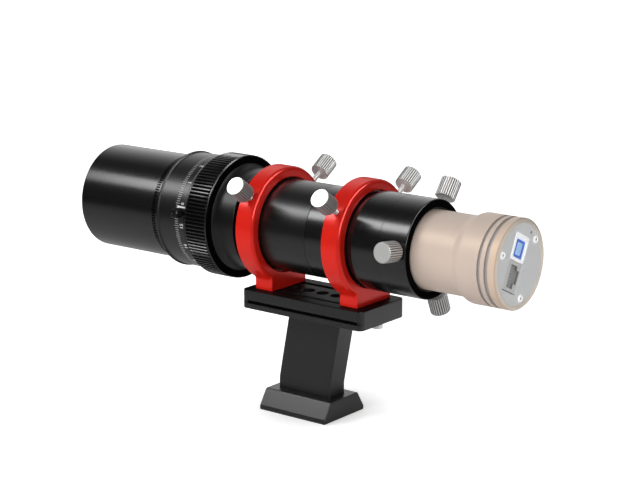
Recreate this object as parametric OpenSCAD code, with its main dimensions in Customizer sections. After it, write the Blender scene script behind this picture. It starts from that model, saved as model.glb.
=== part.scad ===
// Mini guide scope on a leaning finder-shoe post, with a guide camera in its 1.25 inch holder.
// Millimetres. +Z up, +X from the objective to the camera along the optical axis.
// Origin: centre of the foot's bottom face. The optical axis runs along X at height axis_h.

/* [Optical axis] */
// height of the optical axis above the foot's bottom face
axis_h = 77.5; // [72:0.5:90]
// distance from the axis down to the plate's top face
ring_drop = 26.4; // [25.8:0.1:30]
// running clearance on a radius, for pieces that turn or slide in each other
run_gap = 0.08; // [0.03:0.01:0.1]

/* [Foot] */
// length of the foot along the axis
foot_l = 34.2; // [31:0.2:60]
// width across the foot's bottom
foot_w = 26.9; // [24:0.1:36]
// width across the foot's top
foot_top_w = 18.5; // [16:0.1:23]
// height of the foot
foot_h = 8.5; // [7.5:0.1:12]
// distance of the foot's two screws from its middle
foot_screw_x = 8; // [6:0.1:9]
// head diameter of the foot's two screws
foot_screw_head_d = 5.6; // [5:0.1:6.4]
// height of the upright lip along the foot's bottom edges
foot_lip = 1.8; // [1:0.1:3]

/* [Post] */
// length of the post's section along the axis
post_l = 26.5; // [24:0.1:30]
// width of the post's section
post_w = 10.6; // [8:0.1:12]
// how far the post's top lies behind its bottom
post_lean = 5.6; // [0:0.1:9]
// height of the upright stretch above the foot
post_straight = 4.6; // [2:0.1:12]

/* [Plate] */
// length of the plate
plate_l = 61.6; // [58:0.2:80]
// width of the plate
plate_w = 30; // [28:0.2:40]
// thickness of the plate
plate_t = 8; // [7:0.1:10]
// radius of the plate's upright corners
plate_r = 2.6; // [1:0.1:5]
// height of the groove along each long side
edge_groove_h = 1.4; // [0.6:0.1:2]
// depth of the groove along each long side
edge_groove_d = 1; // [0.4:0.1:1.5]
// distance of each top slot from the centre line
slot_y = 8.4; // [7.6:0.1:9.6]
// width of the two top slots
slot_w = 2.5; // [1.5:0.1:3]
// depth of the two top slots
slot_d = 2.5; // [1:0.1:3.5]
// diameter of the holes along the plate's centre line
hole_d = 5.2; // [4.6:0.1:5.6]
// distance between the holes along the centre line
hole_pitch = 7.2; // [6.6:0.1:7.3]

/* [Rings] */
// distance between the two rings, centre to centre
ring_span = 43.6; // [42.8:0.2:46]
// width of each ring along the axis
ring_w = 8.7; // [7.6:0.1:9.6]
// thickness of each ring's wall
ring_wall = 4.3; // [3:0.1:4.8]
// space all round between the tube and the rings
ring_gap = 0.6; // [0.5:0.1:1.8]
// width of each ring's foot on the plate
ring_foot_w = 22.8; // [20:0.2:27]
// radius of the rounded shoulder at each ring's rear edge
ring_round = 1.7; // [1:0.1:2.4]
// diameter of the nylon pad under the tube in each ring
pad_d = 5; // [4:0.1:6]
// distance of the two bolts in each ring's foot from the centre line
ring_bolt_y = 4.9; // [4.4:0.1:5.2]
// head diameter of the bolts in the rings' feet
ring_bolt_head_d = 5.5; // [5:0.1:5.8]
// thread diameter of the foot, plate and ring screws
machine_d = 2.9; // [2.4:0.1:3]

/* [Tube] */
// outer diameter of the main tube
tube_d = 38; // [37.4:0.1:38.6]
// wall thickness of the main tube
tube_wall = 1.8; // [1.4:0.1:2.1]
// length of the front tube, from the neck to the seam
front_tube_l = 35.3; // [30:0.1:44]
// distance from the neck's rear edge to the holder's front edge
tube_l = 58.9; // [58:0.1:62]
// how far the tube's middle lies in front of the plate's middle
tube_shift = 0.55; // [0:0.05:1]
// aperture of the baffle inside the tube
baffle_d = 24; // [16:0.5:30]
// thickness of the baffle
baffle_t = 1.2; // [0.8:0.1:2]
// distance of the baffle in front of the tube's seam
baffle_back = 20; // [8:0.5:24]

/* [Eyepiece holder] */
// outer diameter of the eyepiece holder
holder_d = 39.8; // [39.4:0.1:42]
// length of the eyepiece holder
holder_l = 26; // [25:0.1:30]
// distance of the holder's screws from its rear face
holder_screw_x = 4.5; // [4.2:0.1:6]

/* [Focuser] */
// diameter of the neck behind the focus ring
neck_d = 42.3; // [41.6:0.1:42.8]
// length of the neck behind the focus ring
neck_l = 10.6; // [9:0.1:14]
// length of the ribbed band
knurl_l = 11.8; // [9:0.1:14]
// height of the ribs above the smooth scale sleeve
knurl_raise = 1.9; // [1.3:0.1:2.4]
// number of ribs on the focus ring
rib_count = 104; // [80:1:120]
// depth of the grooves between the ribs
rib_depth = 0.7; // [0.3:0.1:0.9]
// length of the smooth scale sleeve in front of the ribs
scale_l = 17.8; // [16.5:0.1:22]
// wall of the scale sleeve
scale_wall = 2.3; // [1.8:0.1:3]
// height of the bead round the sleeve's front edge
bead = 0.55; // [0.2:0.05:1]
// wall of the sliding barrel that carries the objective
cell_wall = 2.1; // [1.8:0.1:2.4]
// how far the objective can be driven forward
focus_travel = 6; // [2:0.5:8]

/* [Dew shield] */
// outer diameter of the dew shield
shield_d = 44.5; // [44.2:0.1:47]
// wall thickness of the dew shield
shield_wall = 0.9; // [0.8:0.1:1.1]
// length of the dew shield
shield_l = 44.2; // [30:0.2:60]
// thickness of the front lens at its centre
crown_t = 5.7; // [5:0.1:6]

/* [Ring screws] */
// angle of the two left ring screws from upright
ring_screw_left = 55; // [48:0.5:64]
// angle of the two right ring screws from upright
ring_screw_right = 56.7; // [48:0.5:64]
// head diameter of the ring screws
ring_head_d = 8; // [6:0.1:10]
// head length of the ring screws
ring_head_l = 8; // [5:0.1:9]
// reach of the front left screw's end from the axis
reach_front_left = 35.4; // [34:0.1:44]
// reach of the front right screw's end from the axis
reach_front_right = 38.9; // [34:0.1:44]
// reach of the rear left screw's end from the axis
reach_rear_left = 37; // [34:0.1:44]
// reach of the rear right screw's end from the axis
reach_rear_right = 38.7; // [34:0.1:44]
// shank diameter of the thumbscrews
shank_d = 2.3; // [1.8:0.1:3]

/* [Holder screws] */
// head diameter of the holder's screws
holder_head_d = 8.3; // [6:0.1:9]
// head length of the holder's screws
holder_head_l = 8.2; // [5:0.1:8.4]
// angle of the side screw from upright
holder_screw_angle = 83; // [75:1:95]
// reach of the side screw's end from the axis
reach_side = 28.8; // [28.7:0.1:36]
// reach of the upper screw's end from the axis
reach_upper = 30.2; // [28.7:0.1:36]
// reach of the lower screw's end from the axis
reach_lower = 30.2; // [28.7:0.1:36]

/* [Focus lock] */
// angle of the focus lock screw from upright
lock_angle = 81; // [70:1:110]
// head diameter of the focus lock screw
lock_head_d = 3.8; // [3:0.1:4.6]
// reach of the lock screw's end from the axis
lock_reach = 29.5; // [28.4:0.1:33]

/* [Camera] */
// diameter of the camera's nose
nose_d = 31.75; // [31.4:0.05:31.8]
// length of the nose inside the holder
nose_in = 22; // [12:0.5:22]
// length of the nose between the holder and the flare
nose_out = 18.7; // [8:0.1:24]
// length of the cone between the nose and the head
flare_l = 3.5; // [3:0.1:8]
// diameter of the camera's head
head_d = 35.6; // [34.4:0.1:42]
// length of the camera's head, behind the cone
head_l = 17.3; // [16.5:0.1:26]
// depth of the two cooling grooves round the head
cool_groove_d = 0.9; // [0.3:0.1:1.2]
// diameter of the bore through the camera's nose
nose_bore_d = 27.2; // [24:0.2:28]
// thickness of the camera's window
window_t = 1.4; // [1:0.1:2]
// diameter of the opening between the window and the sensor
sensor_mouth_d = 22; // [18:0.5:24]
// length and width of the sensor
sensor_l = 12; // [6:0.5:16]
// thickness of the camera's two circuit boards
board_t = 1.6; // [1:0.1:2]
// depth of the two sockets in the camera's back
socket_depth = 9; // [8.4:0.1:10]
// width of the guide socket's housing
guide_w = 10; // [9.6:0.1:10.4]
// height of the guide socket's housing
guide_h = 11.4; // [11:0.1:11.8]
// turn of the camera in its holder
camera_roll = -25.5; // [-45:0.5:45]
// width and height of the square data socket
data_socket = 9.9; // [9:0.1:10.4]
// diameter of the screw heads on the camera's back
back_head_d = 2.8; // [2:0.1:3.2]

/* [Hidden] */
$fn = 96;
eps = 0.01;
plate_top = axis_h - ring_drop;
plate_bot = plate_top - plate_t;
plate_x = post_lean;
ring_front_x = plate_x - ring_span / 2;
ring_rear_x = plate_x + ring_span / 2;
tube_r = tube_d / 2;
bore_r = tube_r + ring_gap;
ring_r = bore_r + ring_wall;
neck_rear_x = plate_x - tube_shift - tube_l / 2;
seam_x = neck_rear_x + front_tube_l;
holder_front_x = neck_rear_x + tube_l;
holder_rear_x = holder_front_x + holder_l;
neck_front_x = neck_rear_x - neck_l;
neck_r = neck_d / 2;
knurl_front_x = neck_front_x - knurl_l;
scale_front_x = knurl_front_x - scale_l;
barrel_r = tube_r + 0.3;
cell_in_r = barrel_r + run_gap;
cell_r = cell_in_r + cell_wall;
sleeve_in_r = cell_r + 0.3;
sleeve_r = sleeve_in_r + scale_wall;
rib_r = sleeve_r + knurl_raise;
web_l = 4.2;
cell_rear_x = neck_front_x - web_l - 1.8;
shield_rear_x = scale_front_x - 0.4;
shield_front_x = shield_rear_x - shield_l;
shield_r = shield_d / 2;
shield_in_r = shield_r - shield_wall;
shield_seat_r = shield_in_r + 0.35;
lens_r = shield_in_r - 1.45;
lens_seat_x = shield_rear_x + 0.5;
crown_front_r = 110;
crown_rear_r = 90;
flint_front_r = 92;
crown_rear_x = lens_seat_x - 2.8;
crown_front_x = crown_rear_x - crown_t;
flint_front_x = lens_seat_x - 2;
cell_front_x = shield_rear_x - crown_t - 3.3;
lock_x = knurl_front_x - 2.7;
key_x = lock_x - 2.5;
nose_r = nose_d / 2;
holder_bore_r = nose_r + run_gap;
clamp_x = holder_rear_x - holder_screw_x;
band_in_r = holder_bore_r + 0.04;
band_out_r = band_in_r + 0.7;
nose_front_x = holder_rear_x - nose_in;
flare_x = holder_rear_x + nose_out;
head_x = flare_x + flare_l;
back_x = head_x + head_l;
head_r = head_d / 2;
groove_1_w = 1.3;
groove_1_x = back_x - 8.5;
groove_2_w = 1.6;
groove_2_x = back_x - 5.4;
disc_r = head_r - 1.8;
disc_t = 1.3;
back_step = 0.8;
disc_x = back_x - back_step - disc_t;
boss_r = disc_r - 2.5;
boss_d = 4.6;
socket_floor_x = disc_x + disc_t - socket_depth;
cavity_x = head_x + 0.8;
sensor_board_x = cavity_x + board_t;
window_x = head_x - 2.5 - window_t;
led_angle = 79;
led_d = 0.9;
port_u = -2.6;
data_v = 5.85;
guide_v = -5.55;
rear_tip_r = tube_r + 0.3;

// how far a ball of radius big falls back from its crown at a distance r off the axis
function sag(big, r) = big - sqrt(big * big - r * r);

// places a piece drawn along +Z so that it runs along +X on the optical axis from x
module on_axis(x) {
  translate([x, 0, axis_h]) rotate([0, 90, 0]) children();
}

// a tube along the optical axis between two stations
module ring_x(x0, x1, ro, ri) {
  on_axis(x0) difference() {
    cylinder(r = ro, h = x1 - x0);
    translate([0, 0, -1]) cylinder(r = ri, h = x1 - x0 + 2);
  }
}

module disc_along(x0, x1, r) {
  on_axis(x0) cylinder(r = r, h = x1 - x0);
}

// places a piece drawn along +Z so that it points outward at an angle from upright,
// positive toward -Y
module outward(x, angle) {
  translate([x, 0, axis_h]) rotate([angle, 0, 0]) children();
}

// places a piece in the camera's own turned frame: first coordinate right, second up, third back
module in_camera(x) {
  translate([x, 0, axis_h]) rotate([camera_roll, 0, 0]) rotate([90, 0, 90]) children();
}

// a straight-ribbed screw head with a shank, tip at tip_r and end at reach
module thumbscrew(x, angle, tip_r, reach, head_d, head_l, teeth) {
  outward(x, angle) {
    translate([0, 0, tip_r]) cylinder(d = shank_d, h = reach - head_l - tip_r + 0.5);
    translate([0, 0, reach - head_l]) {
      cylinder(d = head_d - 0.7, h = head_l);
      translate([0, 0, 0.4]) linear_extrude(head_l - 0.8)
        polygon([for (i = [0:2 * teeth - 1])
          (head_d / 2 - (i % 2) * 0.22) * [cos(i * 180 / teeth), sin(i * 180 / teeth)]]);
    }
  }
}

module finder_foot() color([0.09, 0.09, 0.1]) difference() {
  translate([-foot_l / 2, 0, 0]) rotate([90, 0, 90]) linear_extrude(foot_l)
    polygon([[-foot_w / 2, 0], [foot_w / 2, 0], [foot_w / 2, foot_lip], [foot_top_w / 2, foot_h],
      [-foot_top_w / 2, foot_h], [-foot_w / 2, foot_lip]]);
  for (x = [-foot_screw_x, foot_screw_x]) translate([x, 0, 0]) {
    translate([0, 0, -1]) cylinder(d = machine_d + 0.3, h = foot_h + 2);
    translate([0, 0, -1]) cylinder(d = foot_screw_head_d + 0.4, h = 4.2);
  }
}

module foot_screws() color([0.55, 0.56, 0.58]) for (x = [-foot_screw_x, foot_screw_x])
  translate([x, 0, 0.4])
  difference() {
    union() {
      cylinder(d = foot_screw_head_d, h = 2.8);
      cylinder(d = machine_d, h = foot_h + 6);
    }
    translate([0, 0, -1]) cylinder(d = foot_screw_head_d * 0.45, h = 2.6, $fn = 6);
  }

module post() color([0.08, 0.08, 0.09]) difference() {
  rotate([90, 0, 0]) linear_extrude(post_w, center = true)
    polygon([[-post_l / 2, foot_h], [post_l / 2, foot_h], [post_l / 2, foot_h + post_straight],
      [post_lean + post_l / 2, plate_bot], [post_lean - post_l / 2, plate_bot],
      [-post_l / 2, foot_h + post_straight]]);
  for (x = [-foot_screw_x, foot_screw_x]) translate([x, 0, foot_h - 1]) cylinder(d = machine_d + 0.1, h = 8.5);
  for (i = [-1, 1]) translate([plate_x + i * hole_pitch, 0, plate_bot - 8])
    cylinder(d = machine_d + 0.1, h = 9);
}

module mount_plate() color([0.08, 0.08, 0.09]) difference() {
  translate([plate_x, 0, plate_bot]) {
    translate([-plate_l / 2 + plate_r, -plate_w / 2, 0])
      cube([plate_l - 2 * plate_r, plate_w, plate_t]);
    translate([-plate_l / 2, -plate_w / 2 + plate_r, 0])
      cube([plate_l, plate_w - 2 * plate_r, plate_t]);
    for (i = [-1, 1], j = [-1, 1])
      translate([i * (plate_l / 2 - plate_r), j * (plate_w / 2 - plate_r), 0])
        cylinder(r = plate_r, h = plate_t);
  }
  for (j = [-1, 1]) {
    translate([plate_x - plate_l / 2 - 1, j * (plate_w / 2 - edge_groove_d / 2 + 0.5)
      - edge_groove_d / 2 - 0.5, plate_bot + plate_t * 0.37 - edge_groove_h / 2])
      cube([plate_l + 2, edge_groove_d + 1, edge_groove_h]);
    translate([plate_x, j * slot_y, plate_top - slot_d]) {
      translate([-ring_span / 2 - 3, -slot_w / 2, 0]) cube([ring_span + 6, slot_w, slot_d + 1]);
      for (i = [-1, 1]) translate([i * (ring_span / 2 + 3), 0, 0])
        cylinder(d = slot_w, h = slot_d + 1);
    }
  }
  for (i = [-2, 0, 2]) translate([plate_x + i * hole_pitch, 0, plate_bot - 1])
    cylinder(d = hole_d, h = plate_t + 2);
  for (i = [-1, 1]) translate([plate_x + i * hole_pitch, 0, 0]) {
    translate([0, 0, plate_bot + 2.4]) cylinder(d = hole_d, h = plate_t);
    translate([0, 0, plate_bot - 1]) cylinder(d = machine_d + 0.3, h = 4);
  }
  for (x = [ring_front_x, ring_rear_x], j = [-1, 1])
    translate([x, j * ring_bolt_y, plate_bot - 1]) {
      cylinder(d = machine_d + 0.3, h = plate_t + 2);
      cylinder(d = ring_bolt_head_d + 0.4, h = 4.2);
    }
  translate([plate_x + plate_l / 2 - 2.9, 0, plate_bot - 1]) cylinder(d = 2.5, h = 5.5);
}

module plate_screws() color([0.3, 0.3, 0.32]) for (i = [-1, 1])
  translate([plate_x + i * hole_pitch, 0, 0]) difference() {
    union() {
      translate([0, 0, plate_bot + 2.4]) cylinder(d = 4.4, h = 1.8);
      translate([0, 0, plate_bot - 6.5]) cylinder(d = machine_d, h = 9.2);
    }
    translate([0, 0, plate_bot + 3]) cylinder(d = 2, h = 2, $fn = 6);
  }

module stop_screw() color([0.75, 0.76, 0.78])
  translate([plate_x + plate_l / 2 - 2.9, 0, plate_bot]) difference() {
    union() {
      translate([0, 0, -1.9]) cylinder(d = 4.4, h = 1.9);
      translate([0, 0, -0.4]) cylinder(d = 2.4, h = 4.4);
    }
    translate([0, 0, -2.5]) cylinder(d = 2, h = 1.6, $fn = 6);
  }

// one mounting ring with its foot, at a station along the axis
module ring_shape(x) difference() {
  union() {
    on_axis(x - ring_w / 2) {
      cylinder(r = ring_r, h = ring_w - ring_round);
      cylinder(r = ring_r - ring_round + 0.15, h = ring_w - 0.15);
      translate([0, 0, ring_w - ring_round]) rotate_extrude()
        translate([ring_r + 0.15 - ring_round, 0]) circle(r = ring_round);
    }
    translate([x - ring_w / 2, -ring_foot_w / 2, plate_top])
      cube([ring_w - 0.15, ring_foot_w,
        ring_drop - sqrt(ring_r * ring_r - ring_foot_w * ring_foot_w / 4) + 2]);
  }
  on_axis(x - ring_w) cylinder(r = bore_r, h = 2 * ring_w);
  for (a = [-ring_screw_right, ring_screw_left]) outward(x, a) {
    translate([0, 0, bore_r - 2]) cylinder(d = shank_d + 0.2, h = ring_wall + 4);
    translate([0, 0, ring_r - 0.85]) cylinder(d = shank_d + 3.8, h = 3);
  }
  for (j = [-1, 1]) translate([x, j * ring_bolt_y, plate_top - 1])
    cylinder(d = machine_d + 0.1, h = 4);
  translate([x, 0, axis_h - bore_r - 1.6]) cylinder(d = pad_d + 0.1, h = 4);
}

module ring_front() color([0.8, 0.1, 0.08]) ring_shape(ring_front_x);
module ring_rear() color([0.8, 0.1, 0.08]) ring_shape(ring_rear_x);

module ring_bolts() color([0.55, 0.56, 0.58]) for (x = [ring_front_x, ring_rear_x], j = [-1, 1])
  translate([x, j * ring_bolt_y, plate_bot]) difference() {
    union() {
      translate([0, 0, 0.5]) cylinder(d = ring_bolt_head_d, h = 2.7);
      translate([0, 0, 3]) cylinder(d = machine_d, h = plate_t - 0.4);
    }
    translate([0, 0, -1]) cylinder(d = machine_d * 0.8, h = 3, $fn = 6);
  }

module ring_pads() color([0.92, 0.92, 0.9]) for (x = [ring_front_x, ring_rear_x])
  translate([x, 0, axis_h - bore_r - 1.6]) cylinder(d = pad_d, h = ring_gap + 1.58);

module main_tube() color([0.07, 0.07, 0.08]) {
  ring_x(neck_rear_x + 0.6, seam_x - 0.15, tube_r, tube_r - tube_wall);
  ring_x(neck_rear_x, neck_rear_x + 0.6 + eps, tube_r - 0.3, tube_r - tube_wall);
  ring_x(seam_x - 0.15 - eps, seam_x, tube_r - 0.25, tube_r - tube_wall);
}

module rear_tube() color([0.07, 0.07, 0.08]) {
  ring_x(seam_x + 0.15, holder_front_x, tube_r, tube_r - tube_wall);
  ring_x(seam_x, seam_x + 0.15 + eps, tube_r - 0.25, tube_r - tube_wall - 0.9);
  ring_x(seam_x - 5, seam_x + 0.15 + eps, tube_r - tube_wall - 0.03, tube_r - tube_wall - 0.9);
  ring_x(holder_front_x - eps, holder_front_x + 3.6, tube_r - 0.7, tube_r - tube_wall);
}

module baffle() color([0.05, 0.05, 0.05])
  ring_x(seam_x - baffle_back, seam_x - baffle_back + baffle_t, tube_r - tube_wall - 0.02,
    baffle_d / 2);

module eyepiece_holder() color([0.07, 0.07, 0.08]) difference() {
  on_axis(holder_front_x) {
    cylinder(r1 = holder_d / 2 - 0.4, r2 = holder_d / 2, h = 0.4);
    translate([0, 0, 0.4]) cylinder(d = holder_d, h = holder_l - 0.9);
    translate([0, 0, holder_l - 0.5]) cylinder(r1 = holder_d / 2, r2 = holder_d / 2 - 0.5, h = 0.5);
  }
  on_axis(holder_front_x - 1) cylinder(r = holder_bore_r, h = holder_l + 2);
  on_axis(holder_front_x - 1) cylinder(r = tube_r - 0.68, h = 4.8);
  on_axis(holder_rear_x - 0.6) cylinder(r1 = holder_bore_r, r2 = holder_bore_r + 0.8, h = 0.8);
  on_axis(clamp_x - 2.4) cylinder(r = band_out_r + 0.02, h = 4.8);
  on_axis(holder_rear_x - 13.1) difference() {
    cylinder(r = holder_d / 2 + 1, h = 0.25);
    cylinder(r = holder_d / 2 - 0.15, h = 0.25);
  }
  for (a = [0, -120, 120]) outward(clamp_x, holder_screw_angle + a)
    translate([0, 0, holder_bore_r - 2]) cylinder(d = shank_d + 0.2, h = 8);
}

module clamp_band() color([0.75, 0.6, 0.3]) difference() {
  ring_x(clamp_x - 2.3, clamp_x + 2.3, band_out_r, band_in_r);
  outward(clamp_x, holder_screw_angle + 60) translate([-4, -1, 10]) cube([8, 2, 12]);
}

module helicoid_body() color([0.07, 0.07, 0.08]) difference() {
  on_axis(neck_front_x) {
    translate([0, 0, -web_l - 0.1]) cylinder(r = neck_r, h = neck_l + web_l + 0.1);
    translate([0, 0, 0.3]) cylinder(r1 = neck_r + 1.4, r2 = neck_r, h = 2);
    translate([0, 0, scale_front_x + 2.2 - neck_front_x])
      cylinder(r = barrel_r, h = neck_rear_x - scale_front_x - 2.2);
    translate([0, 0, neck_l - eps]) cylinder(r = tube_r - tube_wall - 0.03, h = 6);
  }
  on_axis(scale_front_x) cylinder(r = barrel_r - 1.8, h = neck_rear_x - scale_front_x - 6);
  on_axis(scale_front_x) cylinder(r = tube_r - tube_wall - 1.3, h = 80);
  outward(key_x, 0) cylinder(d = 2.3, h = 30);
}

module ring_keeper() color([0.5, 0.5, 0.52]) ring_x(neck_front_x - web_l - 1.1,
  neck_front_x - web_l - 0.2, sleeve_in_r - 0.25, barrel_r + 0.03);

module slide_key() color([0.6, 0.6, 0.62]) outward(key_x, 0)
  translate([0, 0, barrel_r - 1.7]) cylinder(d = 2.24, h = cell_wall + 1.4);

// ribbed focus ring with its smooth scale sleeve
module focus_ring() color([0.06, 0.06, 0.07]) difference() {
  union() {
    on_axis(scale_front_x) {
      cylinder(r = sleeve_r, h = scale_l - 1);
      cylinder(r = sleeve_r - 0.5, h = scale_l + knurl_l);
      translate([0, 0, 0.5]) cylinder(r = sleeve_r + bead, h = 0.9);
      cylinder(r1 = sleeve_r + bead - 0.5, r2 = sleeve_r + bead, h = 0.5 + eps);
      translate([0, 0, scale_l]) cylinder(r = rib_r - rib_depth, h = knurl_l);
      translate([0, 0, scale_l + knurl_l - 0.5]) cylinder(r = rib_r - 0.05, h = 0.5);
    }
    on_axis(knurl_front_x + 0.3) linear_extrude(knurl_l - 0.7)
      polygon([for (i = [0:rib_count - 1], k = [0:3])
        let (a = (i + [0, 0.18, 0.5, 0.68][k]) * 360 / rib_count,
          r = (k == 1 || k == 2) ? rib_r : rib_r - rib_depth) r * [cos(a), sin(a)]]);
  }
  on_axis(scale_front_x - 1) cylinder(r = sleeve_in_r, h = scale_l + knurl_l - web_l + 1);
  on_axis(scale_front_x - 1) cylinder(r = neck_r + run_gap, h = scale_l + knurl_l + 2);
  outward(lock_x, lock_angle) cylinder(d = 2.1, h = rib_r + 4);
}

module focus_lock() color([0.05, 0.05, 0.05]) outward(lock_x, lock_angle) {
  translate([0, 0, cell_r + 0.25]) cylinder(d = 1.9, h = lock_reach - 4 - cell_r);
  translate([0, 0, lock_reach - 4.2]) {
    cylinder(d = lock_head_d - 0.4, h = 4.2);
    translate([0, 0, 0.3]) linear_extrude(3.6)
      polygon([for (i = [0:47])
        (lock_head_d / 2 - (i % 2) * 0.13) * [cos(i * 7.5), sin(i * 7.5)]]);
  }
}

// sliding barrel with the lens seat
module objective_cell() color([0.06, 0.06, 0.07]) difference() {
  union() {
    disc_along(shield_rear_x, cell_rear_x, cell_r);
    disc_along(cell_front_x, shield_rear_x + eps, shield_seat_r - 0.03);
  }
  on_axis(cell_front_x - 1) cylinder(r = lens_r + 0.04, h = lens_seat_x - cell_front_x + 1);
  on_axis(cell_front_x - 1) cylinder(r = lens_r - 1.3, h = 60);
  on_axis(lens_seat_x + 1.2) cylinder(r = cell_in_r, h = 60);
  translate([key_x, -1.3, axis_h]) cube([focus_travel + 0.4, 2.6, 30]);
  outward(key_x, 0) cylinder(d = 2.6, h = 30);
  outward(key_x + focus_travel + 0.4, 0) cylinder(d = 2.6, h = 30);
}

module dew_shield() color([0.07, 0.07, 0.08]) difference() {
  on_axis(shield_front_x) {
    cylinder(r1 = shield_r - 0.25, r2 = shield_r, h = 0.25);
    translate([0, 0, 0.25]) cylinder(r = shield_r, h = shield_l - 2.7);
    translate([0, 0, shield_l - 2.5]) cylinder(r = shield_r - 0.2, h = 2.5);
    translate([0, 0, shield_l - 0.35]) cylinder(r = shield_r, h = 0.35);
  }
  on_axis(shield_front_x - 1) cylinder(r = shield_in_r, h = shield_l + 2);
  on_axis(cell_front_x) cylinder(r = shield_seat_r, h = 40);
}

module lens_crown() color([0.7, 0.85, 0.8, 0.5]) intersection() {
  disc_along(crown_front_x - 1, lens_seat_x, lens_r);
  translate([crown_front_x + crown_front_r, 0, axis_h]) sphere(r = crown_front_r, $fn = 600);
  translate([crown_rear_x - crown_rear_r, 0, axis_h]) sphere(r = crown_rear_r, $fn = 600);
}

module lens_flint() color([0.7, 0.8, 0.9, 0.5]) difference() {
  disc_along(flint_front_x - 4, lens_seat_x - 0.02, lens_r);
  translate([flint_front_x - flint_front_r, 0, axis_h]) sphere(r = flint_front_r, $fn = 600);
}

module lens_spacer() color([0.05, 0.05, 0.05])
  ring_x(crown_rear_x - sag(crown_rear_r, lens_r - 1) + 0.03,
    flint_front_x - sag(flint_front_r, lens_r) - 0.03, lens_r, lens_r - 1);

module lens_retainer() color([0.05, 0.05, 0.05])
  ring_x(cell_front_x + 0.2, crown_front_x + sag(crown_front_r, lens_r - 1.1) - 0.02,
    lens_r, lens_r - 1.1);

module ring_screw_fl() color([0.75, 0.76, 0.78]) thumbscrew(ring_front_x, ring_screw_left,
  rear_tip_r, reach_front_left, ring_head_d, ring_head_l, 36);
module ring_screw_fr() color([0.75, 0.76, 0.78]) thumbscrew(ring_front_x, -ring_screw_right,
  rear_tip_r, reach_front_right, ring_head_d, ring_head_l, 36);
module ring_screw_rl() color([0.75, 0.76, 0.78]) thumbscrew(ring_rear_x, ring_screw_left,
  rear_tip_r, reach_rear_left, ring_head_d, ring_head_l, 36);
module ring_screw_rr() color([0.75, 0.76, 0.78]) thumbscrew(ring_rear_x, -ring_screw_right,
  rear_tip_r, reach_rear_right, ring_head_d, ring_head_l, 36);

module holder_screw_side() color([0.75, 0.76, 0.78]) thumbscrew(clamp_x, holder_screw_angle,
  band_out_r + 0.3, reach_side, holder_head_d, holder_head_l, 36);
module holder_screw_upper() color([0.75, 0.76, 0.78]) thumbscrew(clamp_x,
  holder_screw_angle - 120, band_out_r + 0.3, reach_upper, holder_head_d, holder_head_l, 36);
module holder_screw_lower() color([0.75, 0.76, 0.78]) thumbscrew(clamp_x,
  holder_screw_angle + 120, band_out_r + 0.3, reach_lower, holder_head_d, holder_head_l, 36);

module camera_body() color([0.85, 0.74, 0.65]) difference() {
  on_axis(0) rotate_extrude() polygon([[0, nose_front_x], [nose_r - 0.3, nose_front_x],
    [nose_r, nose_front_x + 0.3], [nose_r, flare_x], [head_r, head_x],
    [head_r, groove_1_x], [head_r - cool_groove_d, groove_1_x],
    [head_r - cool_groove_d, groove_1_x + groove_1_w], [head_r, groove_1_x + groove_1_w],
    [head_r, groove_2_x], [head_r - cool_groove_d, groove_2_x],
    [head_r - cool_groove_d, groove_2_x + groove_2_w], [head_r, groove_2_x + groove_2_w],
    [head_r, back_x - 0.9], [disc_r + 0.15, back_x], [0, back_x]]);
  on_axis(nose_front_x - 1)
    cylinder(d = nose_bore_d, h = window_x + window_t - nose_front_x + 1);
  on_axis(head_x - 4) cylinder(d = sensor_mouth_d, h = 5);
  difference() {
    on_axis(cavity_x) cylinder(r = disc_r - 0.9, h = disc_x - cavity_x + 0.1);
    for (a = [60, 180, -60]) in_camera(head_x) rotate([0, 0, a])
      translate([boss_r, 0, -1]) cylinder(d = boss_d, h = head_l + 2);
  }
  on_axis(disc_x) cylinder(r = disc_r + 0.05, h = 4);
  for (a = [60, 180, -60]) in_camera(disc_x - 6) rotate([0, 0, a])
    translate([boss_r, 0, 0]) cylinder(d = 1.7, h = 8);
}

module camera_back() color([0.74, 0.75, 0.76]) difference() {
  on_axis(disc_x) cylinder(r = disc_r, h = disc_t);
  in_camera(disc_x - 1) {
    translate([port_u - data_socket / 2 - 0.1, data_v - data_socket / 2 - 0.1, 0])
      cube([data_socket + 0.2, data_socket + 0.2, 4]);
    translate([port_u - 4.7, guide_v - guide_h / 2 - 0.1, 0])
      cube([guide_w + 0.2, guide_h + 0.2, 4]);
    rotate([0, 0, led_angle]) translate([disc_r - 2.4, 0, 0]) cylinder(d = led_d + 0.15, h = 4);
    for (a = [60, 180, -60]) rotate([0, 0, a]) translate([boss_r, 0, 0])
      cylinder(d = 1.8, h = 4);
  }
}

module back_screws() color([0.85, 0.86, 0.88]) for (a = [60, 180, -60])
  in_camera(disc_x + disc_t) rotate([0, 0, a]) translate([boss_r, 0, 0]) difference() {
    union() {
      cylinder(d = back_head_d, h = 0.7);
      translate([0, 0, -6]) cylinder(d = 1.6, h = 6.3);
    }
    translate([0, 0, 0.3]) cylinder(d = back_head_d * 0.46, h = 1, $fn = 6);
  }

// square shell whose mouth sits low and to the right, as seen from behind
module data_port() color([0.9, 0.9, 0.92]) in_camera(socket_floor_x)
  translate([port_u, data_v, 0]) difference() {
    translate([-data_socket / 2, -data_socket / 2, 0])
      cube([data_socket, data_socket, socket_depth + 0.1]);
    translate([-data_socket / 2 + 1.5, -data_socket / 2 + 0.9, 1])
      cube([data_socket - 2.3, data_socket - 2.2, socket_depth]);
  }

module data_insert() color([0.15, 0.4, 0.9]) in_camera(socket_floor_x + 1)
  translate([port_u - data_socket / 2, data_v - data_socket / 2, 0]) {
    translate([1.52, 0.92, 0]) cube([data_socket - 2.34, data_socket - 2.24, 3.4]);
    translate([3.4, 2, 0]) cube([data_socket - 6, data_socket - 4.4, socket_depth - 2.2]);
  }

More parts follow.
